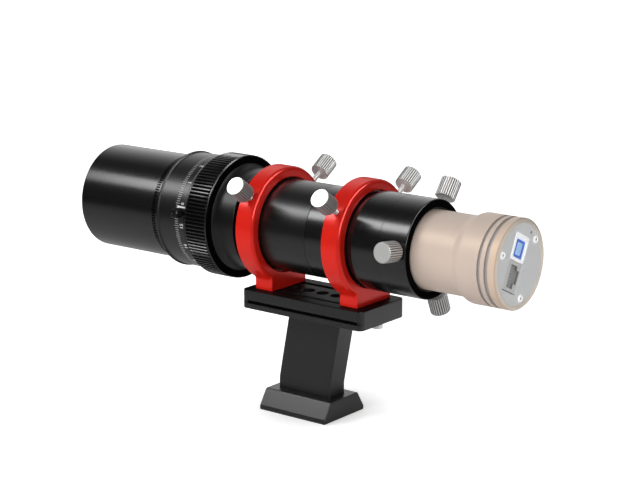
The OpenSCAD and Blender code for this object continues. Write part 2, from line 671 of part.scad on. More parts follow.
module guide_port() color([0.62, 0.63, 0.64]) in_camera(socket_floor_x) difference() {
  translate([port_u - 4.6, guide_v - guide_h / 2, 0]) cube([guide_w, guide_h, socket_depth - 0.3]);
  translate([port_u - 2.2, guide_v - 4.4, 0.8]) cube([4.45, 8.85, socket_depth]);
  translate([port_u + 2.2, guide_v - 2.3, 0.8]) cube([2, 5.3, socket_depth]);
}

module status_led() color([0.8, 0.2, 0.15]) in_camera(disc_x - 0.6)
  rotate([0, 0, led_angle]) translate([disc_r - 2.4, 0, 0]) cylinder(d = led_d, h = disc_t + 0.5);

// round circuit board cut round the three bosses
module round_board(x) difference() {
  disc_along(x, x + board_t, disc_r - 1.3);
  for (a = [60, 180, -60]) in_camera(x - 1) rotate([0, 0, a])
    translate([boss_r, 0, 0]) cylinder(d = boss_d + 0.8, h = board_t + 2);
}

module port_board() color([0.05, 0.3, 0.15]) round_board(socket_floor_x - board_t);
module sensor_board() color([0.05, 0.3, 0.15]) round_board(sensor_board_x);

module board_posts() color([0.75, 0.6, 0.3]) for (a = [0, 120, 240])
  in_camera(sensor_board_x + board_t) rotate([0, 0, a]) translate([disc_r - 4, 0, 0])
    cylinder(d = 3, h = socket_floor_x - 2 * board_t - sensor_board_x);

module image_sensor() color([0.2, 0.22, 0.25]) in_camera(sensor_board_x - 1.4)
  translate([-sensor_l / 2, -sensor_l * 3 / 8, 0]) cube([sensor_l, sensor_l * 3 / 4, 1.4]);

module camera_window() color([0.8, 0.9, 0.92, 0.4])
  disc_along(window_x, window_x + window_t - 0.02, nose_bore_d / 2 - 0.2);

module window_ring() color([0.1, 0.1, 0.1])
  ring_x(window_x - window_t, window_x, nose_bore_d / 2 - 0.03, nose_bore_d / 2 - 1.6);

finder_foot();
post();
foot_screws();
mount_plate();
plate_screws();
stop_screw();
ring_front();
ring_rear();
ring_bolts();
ring_pads();
main_tube();
rear_tube();
baffle();
eyepiece_holder();
clamp_band();
helicoid_body();
ring_keeper();
slide_key();
focus_ring();
focus_lock();
objective_cell();
dew_shield();
lens_crown();
lens_flint();
lens_spacer();
lens_retainer();
ring_screw_fl();
ring_screw_fr();
ring_screw_rl();
ring_screw_rr();
holder_screw_side();
holder_screw_upper();
holder_screw_lower();
camera_body();
camera_back();
back_screws();
data_port();
data_insert();
guide_port();
status_led();
port_board();
sensor_board();
board_posts();
image_sensor();
camera_window();
window_ring();
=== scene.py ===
import math

import bmesh
import bpy
from mathutils import Matrix, Vector


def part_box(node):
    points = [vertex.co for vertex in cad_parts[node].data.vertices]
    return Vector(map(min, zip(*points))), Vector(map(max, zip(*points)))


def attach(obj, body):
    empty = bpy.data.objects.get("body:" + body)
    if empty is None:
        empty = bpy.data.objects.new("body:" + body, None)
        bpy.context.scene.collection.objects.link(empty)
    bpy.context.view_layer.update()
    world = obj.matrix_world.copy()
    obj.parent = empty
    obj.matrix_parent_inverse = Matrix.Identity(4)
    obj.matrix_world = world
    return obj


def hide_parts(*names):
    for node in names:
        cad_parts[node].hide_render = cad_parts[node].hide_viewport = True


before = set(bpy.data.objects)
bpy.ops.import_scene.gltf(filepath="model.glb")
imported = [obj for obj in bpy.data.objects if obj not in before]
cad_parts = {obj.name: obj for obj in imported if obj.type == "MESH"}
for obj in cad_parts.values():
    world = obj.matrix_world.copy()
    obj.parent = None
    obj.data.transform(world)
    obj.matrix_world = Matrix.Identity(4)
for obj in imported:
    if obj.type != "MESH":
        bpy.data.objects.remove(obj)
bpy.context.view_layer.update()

mm = 0.001


def span(node):
    low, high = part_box(node)
    return low / mm, high / mm


# stations along the optical axis, in millimetres, read from the frame
tubeLow, tubeHigh = span("main_tube")
holderLow, holderHigh = span("eyepiece_holder")
focusLow, focusHigh = span("focus_ring")
shieldLow, shieldHigh = span("dew_shield")
bodyLow, bodyHigh = span("camera_body")
plateLow, plateHigh = span("mount_plate")
footLow, footHigh = span("finder_foot")
postLow, postHigh = span("post")
axisHeight = (tubeLow.z + tubeHigh.z) / 2
tubeRadius = (tubeHigh.z - tubeLow.z) / 2
print("frame loaded: optical axis at", round(axisHeight, 2), "mm")


# a shape is a list of points and a list of faces, in millimetres

def turned(outline, steps=160, ripple=None):
    # outline holds (x, radius) or (x, radius, depth share of the ripple); a radius of 0 is a pole
    points, rings = [], []
    for corner in outline:
        x, radius = corner[0], corner[1]
        share = corner[2] if len(corner) > 2 else 0
        if radius < 1e-6:
            rings.append([len(points)])
            points.append(Vector((x, 0, 0)))
            continue
        rings.append(list(range(len(points), len(points) + steps)))
        for i in range(steps):
            turn = 2 * math.pi * i / steps
            r = radius - share * ripple(turn, x) if ripple and share else radius
            points.append(Vector((x, r * math.sin(turn), r * math.cos(turn))))
    faces = []
    for a, b in zip(rings, rings[1:] + rings[:1]):
        for i in range(steps):
            j = (i + 1) % steps
            if len(a) == 1 and len(b) > 1:
                faces.append((a[0], b[i], b[j]))
            elif len(b) == 1 and len(a) > 1:
                faces.append((a[j], a[i], b[0]))
            elif len(a) > 1:
                faces.append((a[i], b[i], b[j], a[j]))
    return points, faces


def softened(corners, detail=1.0):
    # corners are (x, y) or (x, y, rounding); each rounded one becomes a short arc
    made = []
    for i, corner in enumerate(corners):
        rounding = corner[2] if len(corner) > 2 else 0
        here = Vector(corner[:2])
        if not rounding:
            made.append(tuple(here))
            continue
        before = Vector(corners[i - 1][:2]) - here
        after = Vector(corners[(i + 1) % len(corners)][:2]) - here
        rounding = min(rounding, before.length * 0.49, after.length * 0.49)
        start, end = here + before.normalized() * rounding, here + after.normalized() * rounding
        count = 2 + int(rounding * 4 * detail)
        for k in range(count + 1):
            t = k / count
            made.append(tuple(start * (1 - t) ** 2 + here * 2 * t * (1 - t) + end * t * t))
    return made


def loft(rings, looped=False):
    # rings are lists of points of one length, joined in turn and closed at both ends
    count = len(rings[0])
    points = [Vector(p) for ring in rings for p in ring]
    faces = []
    for k in range(len(rings) if looped else len(rings) - 1):
        a, b = k * count, ((k + 1) % len(rings)) * count
        for i in range(count):
            j = (i + 1) % count
            faces.append((a + i, a + j, b + j, b + i))
    if not looped:
        faces.append(tuple(range(count))[::-1])
        faces.append(tuple(range(len(points) - count, len(points))))
    return points, faces


def slab(outline, levels):
    # an upright prism on an outline of (x, y); levels are (z, inset), the inset measured inwards
    count = len(outline)
    normals = []
    for i in range(count):
        along = Vector(outline[(i + 1) % count][:2]) - Vector(outline[i - 1][:2])
        normals.append(Vector((along.y, -along.x)).normalized())
    return loft([[(p[0] - n.x * inset, p[1] - n.y * inset, z) for p, n in zip(outline, normals)]
                 for z, inset in levels])


def roundedBox(width, depth, corner, centre=(0, 0)):
    # counter-clockwise outline of a rectangle with round corners
    cx, cy = centre
    w, d = width / 2, depth / 2
    made = []
    for sx, sy, first in ((1, -1, -90), (1, 1, 0), (-1, 1, 90), (-1, -1, 180)):
        for k in range(7):
            turn = math.radians(first + 15 * k)
            made.append((cx + sx * (w - corner) + corner * math.cos(turn),
                         cy + sy * (d - corner) + corner * math.sin(turn)))
    return made


def block(x0, x1, y0, y1, z0, z1):
    return slab([(x0, y0), (x1, y0), (x1, y1), (x0, y1)], [(z0, 0), (z1, 0)])


def placed(shape, matrix):
    return [matrix @ Vector(p) for p in shape[0]], shape[1]


def together(*shapes):
    points, faces = [], []
    for shape in shapes:
        faces += [tuple(i + len(points) for i in face) for face in shape[1]]
        points += list(shape[0])
    return points, faces


onAxis = Matrix.Translation((0, 0, axisHeight))
upright = Matrix(((0, 0, -1, 0), (0, 1, 0, 0), (1, 0, 0, 0), (0, 0, 0, 1)))  # local x points up


def outward(x, angle, height=axisHeight):
    # local x runs away from the axis, at an angle from upright, positive towards -y
    turn = Matrix.Rotation(math.radians(angle), 4, "X")
    return Matrix.Translation((x, 0, height)) @ turn @ upright


def lathed(corners, steps=160, detail=1.0):
    # rounds the corners and turns them about the optical axis
    return placed(turned(softened(corners, detail), steps), onAxis)


def rod(start, end, radius, where, steps=48):
    return placed(turned([(start, 0), (start, radius), (end, radius), (end, 0)], steps), where)


def drill(x, y, bottom, top, radius, flare=0, steps=48):
    # an upright cutter with a flared mouth at its top
    outline = [(bottom, 0), (bottom, radius), (top - flare, radius)]
    if flare:
        outline.append((top, radius + flare))
    outline += [(top + 1, outline[-1][1] + (1 if flare else 0)), (top + 1, 0)]
    return placed(turned(outline, steps), Matrix.Translation((x, y, 0)) @ upright)


def toMesh(name, shape, scale=mm):
    mesh = bpy.data.meshes.new(name)
    mesh.from_pydata([Vector(p) * scale for p in shape[0]], [], shape[1])
    work = bmesh.new()
    work.from_mesh(mesh)
    bmesh.ops.remove_doubles(work, verts=work.verts, dist=1e-7)
    bmesh.ops.recalc_face_normals(work, faces=work.faces)
    work.to_mesh(mesh)
    work.free()
    return mesh


def bevelled(shape, width, keep=None):
    # rounds the sharp edges, apart from those whose middle the keep test names
    mesh = toMesh("work", shape, 1)
    work = bmesh.new()
    work.from_mesh(mesh)
    sharp = [e for e in work.edges if len(e.link_faces) == 2 and e.calc_face_angle() > 0.4
             and not (keep and keep((e.verts[0].co + e.verts[1].co) / 2))]
    bmesh.ops.bevel(work, geom=sharp, offset=width, segments=3, affect="EDGES", profile=0.5)
    made = ([v.co.copy() for v in work.verts],
            [tuple(v.index for v in f.verts) for f in work.faces])
    work.free()
    bpy.data.meshes.remove(mesh)
    return made


def added(name, data):
    made = bpy.data.objects.new(name, data)
    bpy.context.scene.collection.objects.link(made)
    return made


def baked(thing):
    # a mesh of the object with its modifiers applied
    graph = bpy.context.evaluated_depsgraph_get()
    return bpy.data.meshes.new_from_object(thing.evaluated_get(graph))


def piece(name, shape, finish, body, replaced=(), cutters=(), crease=32):
    made = added(name, toMesh(name, shape))
    if cutters:
        cutter = added("cutter", toMesh("cutter", together(*cutters)))
        carve = made.modifiers.new("carve", "BOOLEAN")
        carve.object, carve.operation, carve.solver = cutter, "DIFFERENCE", "EXACT"
        carved = baked(made)
        made.modifiers.clear()
        made.data = carved
        carved.name = name
        bpy.data.objects.remove(cutter)
    mesh = made.data
    mesh.materials.clear()
    mesh.materials.append(finish)
    mesh.shade_smooth()
    mesh.set_sharp_from_angle(angle=math.radians(crease))
    even = made.modifiers.new("even", "WEIGHTED_NORMAL")
    even.keep_sharp = True
    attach(made, body)
    if replaced:
        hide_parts(*replaced)
    return made


def repaint(made, finish, chosen):
    # gives a further finish to the faces that the test picks
    materials = made.data.materials
    materials.append(finish)
    for face in made.data.polygons:
        if chosen(face):
            face.material_index = len(materials) - 1


class Signal:
    # a node's output that takes part in sums like a number
    def __init__(self, owner, socket):
        self.owner, self.socket = owner, socket

    def sum(self, operation, first, second):
        return self.owner.node("Math", {0: first, 1: second}, operation=operation)

    def __add__(self, other):
        return self.sum("ADD", self, other)

    def __sub__(self, other):
        return self.sum("SUBTRACT", self, other)

    def __rsub__(self, other):
        return self.sum("SUBTRACT", other, self)

    def __mul__(self, other):
        return self.sum("MULTIPLY", self, other)

    def __pow__(self, other):
        return self.sum("POWER", self, other)

    def __truediv__(self, other):
        return self.sum("DIVIDE", self, other)

    def clamped(self):
        return self.sum("MAXIMUM", self.sum("MINIMUM", self, 1.0), 0.0)

    __radd__ = __add__
    __rmul__ = __mul__


class Finish:
    def __init__(self, name, world=None):
        self.block = world or bpy.data.materials.new(name)
        self.block.use_nodes = True
        self.tree = self.block.node_tree
        self.tree.nodes.clear()

    def node(self, kind, sockets=None, out=0, **settings):
        made = self.tree.nodes.new("ShaderNode" + kind)
        for key, value in settings.items():
            setattr(made, key, value)
        for key, value in (sockets or {}).items():
            if isinstance(value, Signal):
                self.tree.links.new(value.socket, made.inputs[key])
            else:
                made.inputs[key].default_value = value
        return Signal(self, made.outputs[out])

    def vector(self, operation, *inputs, out=0):
        return self.node("VectorMath", dict(enumerate(inputs)), out, operation=operation)

    def where(self):
        return self.node("TexCoord", out="Object")

    def fromAxis(self):
        # distance from the optical axis, in millimetres
        flat = self.vector("MULTIPLY_ADD", self.where(), (0, 1 / mm, 1 / mm), (0, 0, -axisHeight))
        return self.vector("LENGTH", flat, out="Value")

    def along(self, axis):
        # place along X, Y or Z, in millimetres
        return self.node("SeparateXYZ", {0: self.where()}, axis) / mm

    def ray(self, kind):
        return self.node("LightPath", out="Is " + kind + " Ray")

    def facing(self, direction, way):
        return self.vector("DOT_PRODUCT", direction, way, out="Value")

    def cloud(self, scale, stretch=(1, 1, 1), detail=2.0):
        spot = self.vector("MULTIPLY", self.where(), stretch)
        return self.node("TexNoise", {"Vector": spot, "Scale": scale, "Detail": detail})

    def grain(self):
        return self.cloud(1500, detail=1.0)

    def tint(self, share, first, second):
        # each colour is three numbers or a signal
        first, second = [c if isinstance(c, Signal) else (*c, 1) for c in (first, second)]
        return self.node("Mix", {0: share, 6: first, 7: second}, 2, data_type="RGBA")

    def principled(self, sockets):
        return self.node("BsdfPrincipled", sockets)

    def mixed(self, share, first, second):
        return self.node("MixShader", {0: share, 1: first, 2: second})

    def bump(self, height, strength, depth=0.03):
        return self.node("Bump", {"Height": height, "Strength": strength, "Distance": depth * mm})

    def shown(self, shader, kind="Material"):
        output = self.tree.nodes.new("ShaderNodeOutput" + kind)
        self.tree.links.new(shader.socket, output.inputs["Surface"])
        return self.block


def metalSkin(name, colour, second, metallic, rough, spread=0.03, grain=0.05, lines=0.0, ior=1.5):
    # blasted or turned metal: a soft change of tone, fine grain, and turning marks along x
    skin = Finish(name)
    smudge = skin.cloud(28, detail=3.0)
    speck = skin.grain()
    height = speck
    if lines:
        height = speck * (1 - lines) + skin.cloud(1, (4200, 40, 40), 2.0) * lines
    tone = skin.tint((smudge * 1.6 - 0.3).clamped(), colour, second)
    return skin.shown(skin.principled({
        "Base Color": tone, "Metallic": metallic, "IOR": ior,
        "Roughness": rough - spread / 2 + smudge * spread + (speck - 0.5) * spread,
        "Normal": skin.bump(height, grain)}))


def plainSkin(name, colour, second, rough, grain=0.1, scale=900, glow=0.0, glowTone=(1, 1, 1)):
    # paint, plastic and the like; glow, where given, is painted light: a faint self-glow on parts
    # that are no lamp
    skin = Finish(name)
    speck = skin.cloud(scale)
    return skin.shown(skin.principled({
        "Base Color": skin.tint((speck * 1.4 - 0.2).clamped(), colour, second),
        "Roughness": rough + (speck - 0.5) * 0.08, "Normal": skin.bump(speck, grain),
        "Emission Color": (*glowTone, 1), "Emission Strength": glow}))


def greys(*levels):
    return [(level, level, level) for level in levels]


ink = (0.0042, 0.0042, 0.0044), (0.006, 0.006, 0.0062)
blackSatin = metalSkin("blackSatin", *ink, 0.0, 0.22, lines=0.5)
blackBlasted = metalSkin("blackBlasted", (0.006, 0.006, 0.0062), (0.009, 0.009, 0.0092), 0.0,
                         0.36, grain=0.12)
blackNeck = metalSkin("blackNeck", (0.0035, 0.0035, 0.0036), (0.005, 0.005, 0.0052), 0.0, 0.35,
                      lines=0.5, ior=1.38)
blackMatte = metalSkin("blackMatte", *greys(0.006, 0.009), 0.0, 0.7)
# near-black with almost no reflection: painted shade, on the holder's rear faces and in the plate's
# grooves
shadeBlack = metalSkin("shadeBlack", *greys(0.002, 0.003), 0.0, 0.9, ior=1.05)
blackSteel = metalSkin("blackSteel", (0.01, 0.01, 0.011), (0.016, 0.016, 0.017), 0.5, 0.3)
blackTurned = metalSkin("blackTurned", *ink, 0.0, 0.31, lines=0.5)
silver = metalSkin("silver", (0.52, 0.51, 0.5), (0.45, 0.445, 0.44), 0.95, 0.45)
# a darker copy of the silver for the knurl valleys: painted shade
silverValleyShade = metalSkin("silverValleyShade", *greys(0.1, 0.07), 0.8, 0.5)
# a lighter, more diffuse copy of the silver for the screws' end faces: painted light
litSilverFace = metalSkin("litSilverFace", (0.8, 0.8, 0.79), (0.74, 0.74, 0.73), 0.55, 0.35)
steel = metalSkin("steel", *greys(0.7, 0.6), 0.75, 0.3)
brass = metalSkin("brass", (0.62, 0.44, 0.18), (0.55, 0.38, 0.15), 1.0, 0.3)
# the back disc glows faintly: painted light
backSatin = plainSkin("backSatin", (0.93, 0.94, 0.95), (0.9, 0.91, 0.92), 0.5, grain=0.04,
                      glow=0.06)
# the data socket's white shell glows: painted light
socketWhite = plainSkin("socketWhite", (0.95, 0.96, 0.98), (0.9, 0.91, 0.93), 0.4, glow=0.4)
socketBlue = plainSkin("socketBlue", (0.12, 0.3, 0.95), (0.1, 0.25, 0.85), 0.4)
# the socket's blue tongue glows blue: painted light that lifts it out of the socket's shade
tongueBlue = plainSkin("tongueBlue", (0.42, 0.66, 1.0), (0.36, 0.58, 0.98), 0.4, glow=0.3,
                       glowTone=(0.4, 0.62, 1))
socketGrey = plainSkin("socketGrey", (0.93, 0.93, 0.92), (0.89, 0.89, 0.88), 0.5)
cavityGrey = plainSkin("cavityGrey", (0.5, 0.5, 0.48), (0.45, 0.45, 0.43), 0.5)
# the back screws glow: painted light
screwWhite = plainSkin("screwWhite", (0.93, 0.93, 0.92), (0.86, 0.86, 0.85), 0.35, glow=0.4)
markWhite = plainSkin("markWhite", *greys(0.85, 0.78), 0.5, scale=4000)
# mid grey as painted shade: on the guide port's walls and in the back screws' sockets
shadeGrey = plainSkin("shadeGrey", *greys(0.32, 0.26), 0.5, scale=4000)
tickWhite = plainSkin("tickWhite", *greys(0.62, 0.55), 0.5, scale=4000)
nylon = plainSkin("nylon", (0.8, 0.8, 0.78), (0.74, 0.74, 0.72), 0.45)
boardGreen = plainSkin("boardGreen", (0.01, 0.12, 0.05), (0.008, 0.09, 0.04), 0.35)
sensorChip = plainSkin("sensorChip", (0.05, 0.06, 0.09), (0.03, 0.035, 0.06), 0.15)
pinGrey = plainSkin("pinGrey", (0.66, 0.66, 0.64), (0.6, 0.6, 0.58), 0.4)
ledRed = plainSkin("ledRed", (0.16, 0.07, 0.07), (0.12, 0.05, 0.05), 0.2)


def ribSkin(name, crest, valley):
    # satin crests over valleys in flat black diffuse, which is painted shade; the two are told
    # apart by their distance from the axis
    skin = Finish(name)
    speck = skin.grain()
    share = ((skin.fromAxis() - valley) / (crest - valley)).clamped()
    satin = skin.principled({
        "Base Color": skin.tint(speck, (0.0035, 0.0035, 0.0036), (0.006, 0.006, 0.006)),
        "Roughness": 0.18 + speck * 0.06, "Normal": skin.bump(speck, 0.04)})
    valleyShade = skin.node("BsdfDiffuse", {"Color": (0.003, 0.003, 0.003, 1)})
    return skin.shown(skin.mixed(share, valleyShade, satin))


def redSkin(name, colour, second):
    # satin anodising that loses its gloss where it is seen edge on
    skin = Finish(name)
    smudge, speck = skin.cloud(28, detail=3.0), skin.grain()
    tone = skin.tint((smudge * 1.6 - 0.3).clamped(), colour, second)
    grain = skin.bump(speck, 0.05)
    satin = skin.principled({
        "Base Color": tone, "Metallic": 0.15, "IOR": 1.34, "Normal": grain,
        "Roughness": 0.19 + smudge * 0.03 + speck * 0.03})
    plain = skin.node("BsdfDiffuse", {"Color": tone, "Normal": grain})
    edge = skin.node("LayerWeight", {"Blend": 0.5}, out="Facing")
    return skin.shown(skin.mixed(((edge - 0.5) * 3).clamped() * 0.85, satin, plain))


def plateSkin(name, top):
    # blasted sides and a dull top face
    skin = Finish(name)
    speck = skin.grain()
    colour = skin.tint(speck, (0.006, 0.006, 0.0062), (0.009, 0.009, 0.0092))
    grain = skin.bump(speck, 0.12)
    side = skin.principled({
        "Base Color": colour, "Roughness": 0.34 + speck * 0.05, "Normal": grain})
    face = skin.principled({
        "Base Color": skin.tint(speck, *greys(0.002, 0.004)),
        "Roughness": 0.5 + speck * 0.05, "IOR": 1.16, "Normal": grain})
    share = ((skin.along("Z") - top + 0.25) * 5).clamped()
    return skin.shown(skin.mixed(share, side, face))


def shellSkin(name, pale, second, groove, radius):
    # champagne anodising, bluish grey at the groove floors; painted highlights on the rear band and
    # bevel
    skin = Finish(name)
    speck, sheen = skin.cloud(900), skin.cloud(30, (0.3, 1, 1))
    rear, below = skin.along("X") - bodyHigh.x, radius - 0.2 - skin.fromAxis()
    deep = (below * 4).clamped() * ((rear + 9.5).clamped() * ((-3.2 - rear) * 4).clamped())
    coat = skin.tint((sheen * 1.4 - 0.2).clamped(), pale, second)
    # golden tint on the rear band, stronger towards -y: painted highlight
    goldHighlight = ((rear + 4.2) * 0.6).clamped() * (0.1 - skin.along("Y") * 0.055).clamped()
    coat = skin.tint(goldHighlight, coat, skin.tint(sheen, (0.84, 0.64, 0.5), (0.8, 0.61, 0.48)))
    # the rear bevel and its rim lighter: painted highlight
    lip = (below * 2).clamped() * ((rear + 1.2) * 3).clamped()
    coat = skin.tint(lip, coat, skin.tint(sheen, (0.98, 0.88, 0.78), (0.95, 0.85, 0.75)))
    lower = skin.tint(speck, groove, tuple(c * 0.92 for c in groove))
    return skin.shown(skin.principled({
        "Base Color": skin.tint(deep, coat, lower), "Roughness": 0.42 + (speck - 0.5) * 0.08,
        "Specular Tint": (1.0, 0.78, 0.45, 1), "Normal": skin.bump(speck, 0.04)}))


# coated glass: clear, with a faint tint in its reflection
glass = Finish("lensGlass")
dust = glass.cloud(400, detail=3.0)
lensGlass = glass.shown(glass.principled({
    "Base Color": (0.97, 1.0, 0.98, 1), "Roughness": 0.01 + dust * 0.02, "IOR": 1.52,
    "Transmission Weight": 1.0, "Coat Weight": 0.4 + dust * 0.1,
    "Coat Tint": (0.75, 1.0, 0.85, 1)}))
print("finishes ready")


# the pieces; their sizes are in millimetres and degrees

tubes = {"wall": 1.8, "edge": 0.22, "spigot": 0.7, "spigotLength": 3.6, "sleeve": 0.9,
         "sleeveLength": 5, "fit": 0.03}
seam, wall = tubeHigh.x, tubeRadius - tubes["wall"]
fitted, sleeveBore = wall - tubes["fit"], wall - tubes["sleeve"]
sleeveStart = seam - tubes["sleeveLength"]
piece("mainTube", lathed([
    (tubeLow.x, tubeRadius, tubes["edge"]), (seam, tubeRadius, tubes["edge"]), (seam, wall),
    (tubeLow.x, wall)]), blackTurned, "base", ["main_tube"])
spigotRear, spigotOut = holderLow.x + tubes["spigotLength"], tubeRadius - tubes["spigot"]
piece("rearTube", lathed([
    (sleeveStart, sleeveBore), (sleeveStart, fitted), (seam + 0.02, fitted),
    (seam + 0.02, tubeRadius, tubes["edge"]), (holderLow.x, tubeRadius),
    (holderLow.x, spigotOut), (spigotRear, spigotOut), (spigotRear, wall), (seam + 0.15, wall),
    (seam + 0.15, sleeveBore)]), blackSatin, "base", ["rear_tube"])

holder = {"bore": 15.955, "edge": 0.5, "seatBore": 18.32, "seatDepth": 3.8, "lineBehind": 13.0,
          "lineDepth": 0.07, "lineHalf": 0.14, "screwBehind": 4.5, "screwHole": 1.3,
          "clampBore": 16.72, "clampHalf": 2.4, "screwAngles": (83, -37, 203)}
holderRadius = (holderHigh.z - holderLow.z) / 2
clampX, line = holderHigh.x - holder["screwBehind"], holderHigh.x - holder["lineBehind"]
clampFront, clampRear = clampX - holder["clampHalf"], clampX + holder["clampHalf"]
seatRear, bore = holderLow.x + holder["seatDepth"], holder["bore"]
# the holder's rear faces are repainted near-black: painted shade
repaint(piece("eyepieceHolder", lathed([
    (holderLow.x, holder["seatBore"]), (holderLow.x, holderRadius, holder["edge"]),
    (line - holder["lineHalf"], holderRadius), (line, holderRadius - holder["lineDepth"]),
    (line + holder["lineHalf"], holderRadius), (holderHigh.x, holderRadius, holder["edge"] + 0.1),
    (holderHigh.x, bore + 0.8), (holderHigh.x - 0.6, bore), (clampRear, bore),
    (clampRear, holder["clampBore"]), (clampFront, holder["clampBore"]), (clampFront, bore),
    (seatRear, bore), (seatRear, holder["seatBore"])], 192),
    blackSatin, "base", ["eyepiece_holder"],
    [rod(14, holderRadius + 1, holder["screwHole"], outward(clampX, angle), 40)
     for angle in holder["screwAngles"]]),
    shadeBlack, lambda face: face.normal.x > 0.95)
print("tubes and holder made")

focuser = {"neck": 21.15, "neckEdge": 0.45, "neckLength": 4.3, "cone": 1.5, "coneLength": 4.6,
           "barrel": 19.3, "barrelBehind": 2.2, "plug": 6, "inner": 15.9, "ribs": 104,
           "ribDepth": 0.6, "ribCrest": 0.22, "ribFlank": 0.34, "ribBand": 11.8,
           "sleeveBelow": 1.9, "sleeveBore": 21.78, "web": 4.2, "gap": 0.08, "bead": 0.55,
           "lineAhead": 1.75, "lockAngle": 81, "lockAhead": 2.7, "lockHole": 1.05}
neckFront, sleeveFront = focusHigh.x, focusLow.x
ribRadius = (focusHigh.z - focusLow.z) / 2
sleeveRadius = ribRadius - focuser["sleeveBelow"]
neck, barrel, inner, gripBore = (focuser[k] for k in ("neck", "barrel", "inner", "sleeveBore"))
ribFront = neckFront - focuser["ribBand"]
lockPlace = outward(ribFront - focuser["lockAhead"], focuser["lockAngle"])
barrelFront = sleeveFront + focuser["barrelBehind"]
neckFillet = [(neckFront + 0.3 + focuser["coneLength"] * k / 14,
               neck + focuser["cone"] * (1 - k / 14) ** 2.4) for k in range(15)]
barrelRear, plugRear = neckFront - focuser["neckLength"], tubeLow.x + focuser["plug"]
piece("helicoidBody", placed(turned([
    (barrelFront, barrel), (barrelRear, barrel), (barrelRear, neck), (neckFront + 0.3, neck),
    *neckFillet,
    *softened([(tubeLow.x - 1, neck), (tubeLow.x, neck, focuser["neckEdge"]),
               (tubeLow.x, fitted)])[:-1],
    (tubeLow.x, fitted), (plugRear, fitted), (plugRear, inner), (barrelFront, inner)], 192),
    onAxis), blackNeck, "base", ["helicoid_body"])

line, beadRadius = ribFront - focuser["lineAhead"], sleeveRadius + focuser["bead"]
piece("scaleSleeve", lathed([
    (sleeveFront, gripBore), (sleeveFront, sleeveRadius - 1.1, 0.2),
    (sleeveFront + 1.4, beadRadius, 0.3), (sleeveFront + 2.0, beadRadius, 0.3),
    (sleeveFront + 2.25, sleeveRadius, 0.12), (line - 0.15, sleeveRadius),
    (line, sleeveRadius - 0.18), (line + 0.15, sleeveRadius), (ribFront, sleeveRadius),
    (ribFront, gripBore)], 224), blackTurned, "focus_ring",
    cutters=[rod(20, 30, focuser["lockHole"], lockPlace, 32)])


def gripRidge(turn, x):
    # depth below the ridge's top: level crests, flanks at about 60 degrees, flat valleys
    phase = (turn * focuser["ribs"] / (2 * math.pi)) % 1
    away = min(phase, 1 - phase) * 2 * math.pi * ribRadius / focuser["ribs"]
    share = (away - focuser["ribCrest"]) / focuser["ribFlank"]
    return focuser["ribDepth"] * min(1.0, max(0.0, share))


# along from the band's end, depth below the crests, and the ribs' share there
ribStart = [(0, 1.0, 0), (0.1, 0.8, 0), (0.3, 0.45, 0.45), (0.55, 0.12, 0.85), (0.9, 0, 1)]
ribEnd = [(-5, 0, 1), (-1.1, 0, 1), (-0.85, 0.08, 0.9), (-0.7, 0.3, 0.5), (-0.62, 0.3, 0),
          (-0.5, 0.06, 0), (-0.25, 0.06, 0), (0, 0.4, 0)]
webFront, webBore = neckFront - focuser["web"], neck + focuser["gap"]
piece("ribbedBand", placed(turned([
    (ribFront, gripBore),
    *[(ribFront + x, ribRadius - depth, share) for x, depth, share in ribStart],
    *[(neckFront + x, ribRadius - depth, share) for x, depth, share in ribEnd],
    (neckFront, webBore), (webFront, webBore), (webFront, gripBore)],
    focuser["ribs"] * 16, gripRidge), onAxis),
    ribSkin("blackGrip", ribRadius - 0.25, ribRadius - 0.55), "focus_ring",
    ["focus_ring"])

scale = {"numerals": 16, "zeroAngle": 18.0, "pitch": 22.5, "ticksBetween": 10, "digit": 1.7,
         "digitFront": -50.6, "tickFront": -53.2, "tickBack": -51.5, "tickWidth": 0.17,
         "longer": 0.3, "barFront": -52.4, "barBack": -48.2, "barAngle": 14.6, "barWidth": 0.7,
         "raised": 0.03}


def aroundSleeve(x, angle, radius):
    # a point on the sleeve; the angle is above the horizontal on the -y side
    turn = math.radians(angle)
    return Vector((x, -radius * math.cos(turn), axisHeight + radius * math.sin(turn)))


def mark(front, back, angle, width):
    half = math.degrees(width / 2 / sleeveRadius)
    low, high = sleeveRadius - scale["raised"], sleeveRadius + scale["raised"]
    return loft([[aroundSleeve(x, angle + a, r) for a, r in
                  ((-half, low), (half, low), (half, high), (-half, high))] for x in (front, back)])


def digits(text, angle):
    size = scale["digit"] * (0.8 if text == "0" else 1)
    letters = bpy.data.curves.new("digits", "FONT")
    letters.body, letters.size, letters.align_x = text, size * 1.42, "CENTER"
    letters.extrude, letters.offset = scale["raised"], 0.045
    lettering = added("digits", letters)
    mesh = baked(lettering)
    points = [aroundSleeve(scale["digitFront"] + size - v.co.y,
                           angle + math.degrees(v.co.x / sleeveRadius),
                           sleeveRadius + v.co.z) for v in mesh.vertices]
    faces = [tuple(f.vertices) for f in mesh.polygons]
    bpy.data.objects.remove(lettering)
    return points, faces


marks, ticks = [mark(scale["barFront"], scale["barBack"], scale["barAngle"],
                     scale["barWidth"])], []
for n in range(scale["numerals"]):
    angle = scale["zeroAngle"] + n * scale["pitch"]
    marks.append(digits(str(n), angle))
    for k in range(scale["ticksBetween"]):
        longer = 0 if k % 5 else scale["longer"]
        ticks.append(mark(scale["tickFront"] - longer, scale["tickBack"] + longer,
                          angle + k * scale["pitch"] / scale["ticksBetween"], scale["tickWidth"]))
piece("scaleMarks", together(*marks), markWhite, "focus_ring")
piece("scaleTicks", together(*ticks), tickWhite, "focus_ring")

lock = {"tip": 21.73, "shank": 0.95, "reach": 29.5, "length": 4.2, "head": 1.9, "ribs": 24,
        "ribDepth": 0.14}


def lockRidge(turn, x):
    return lock["ribDepth"] * (0.5 - 0.5 * math.cos(turn * lock["ribs"]))


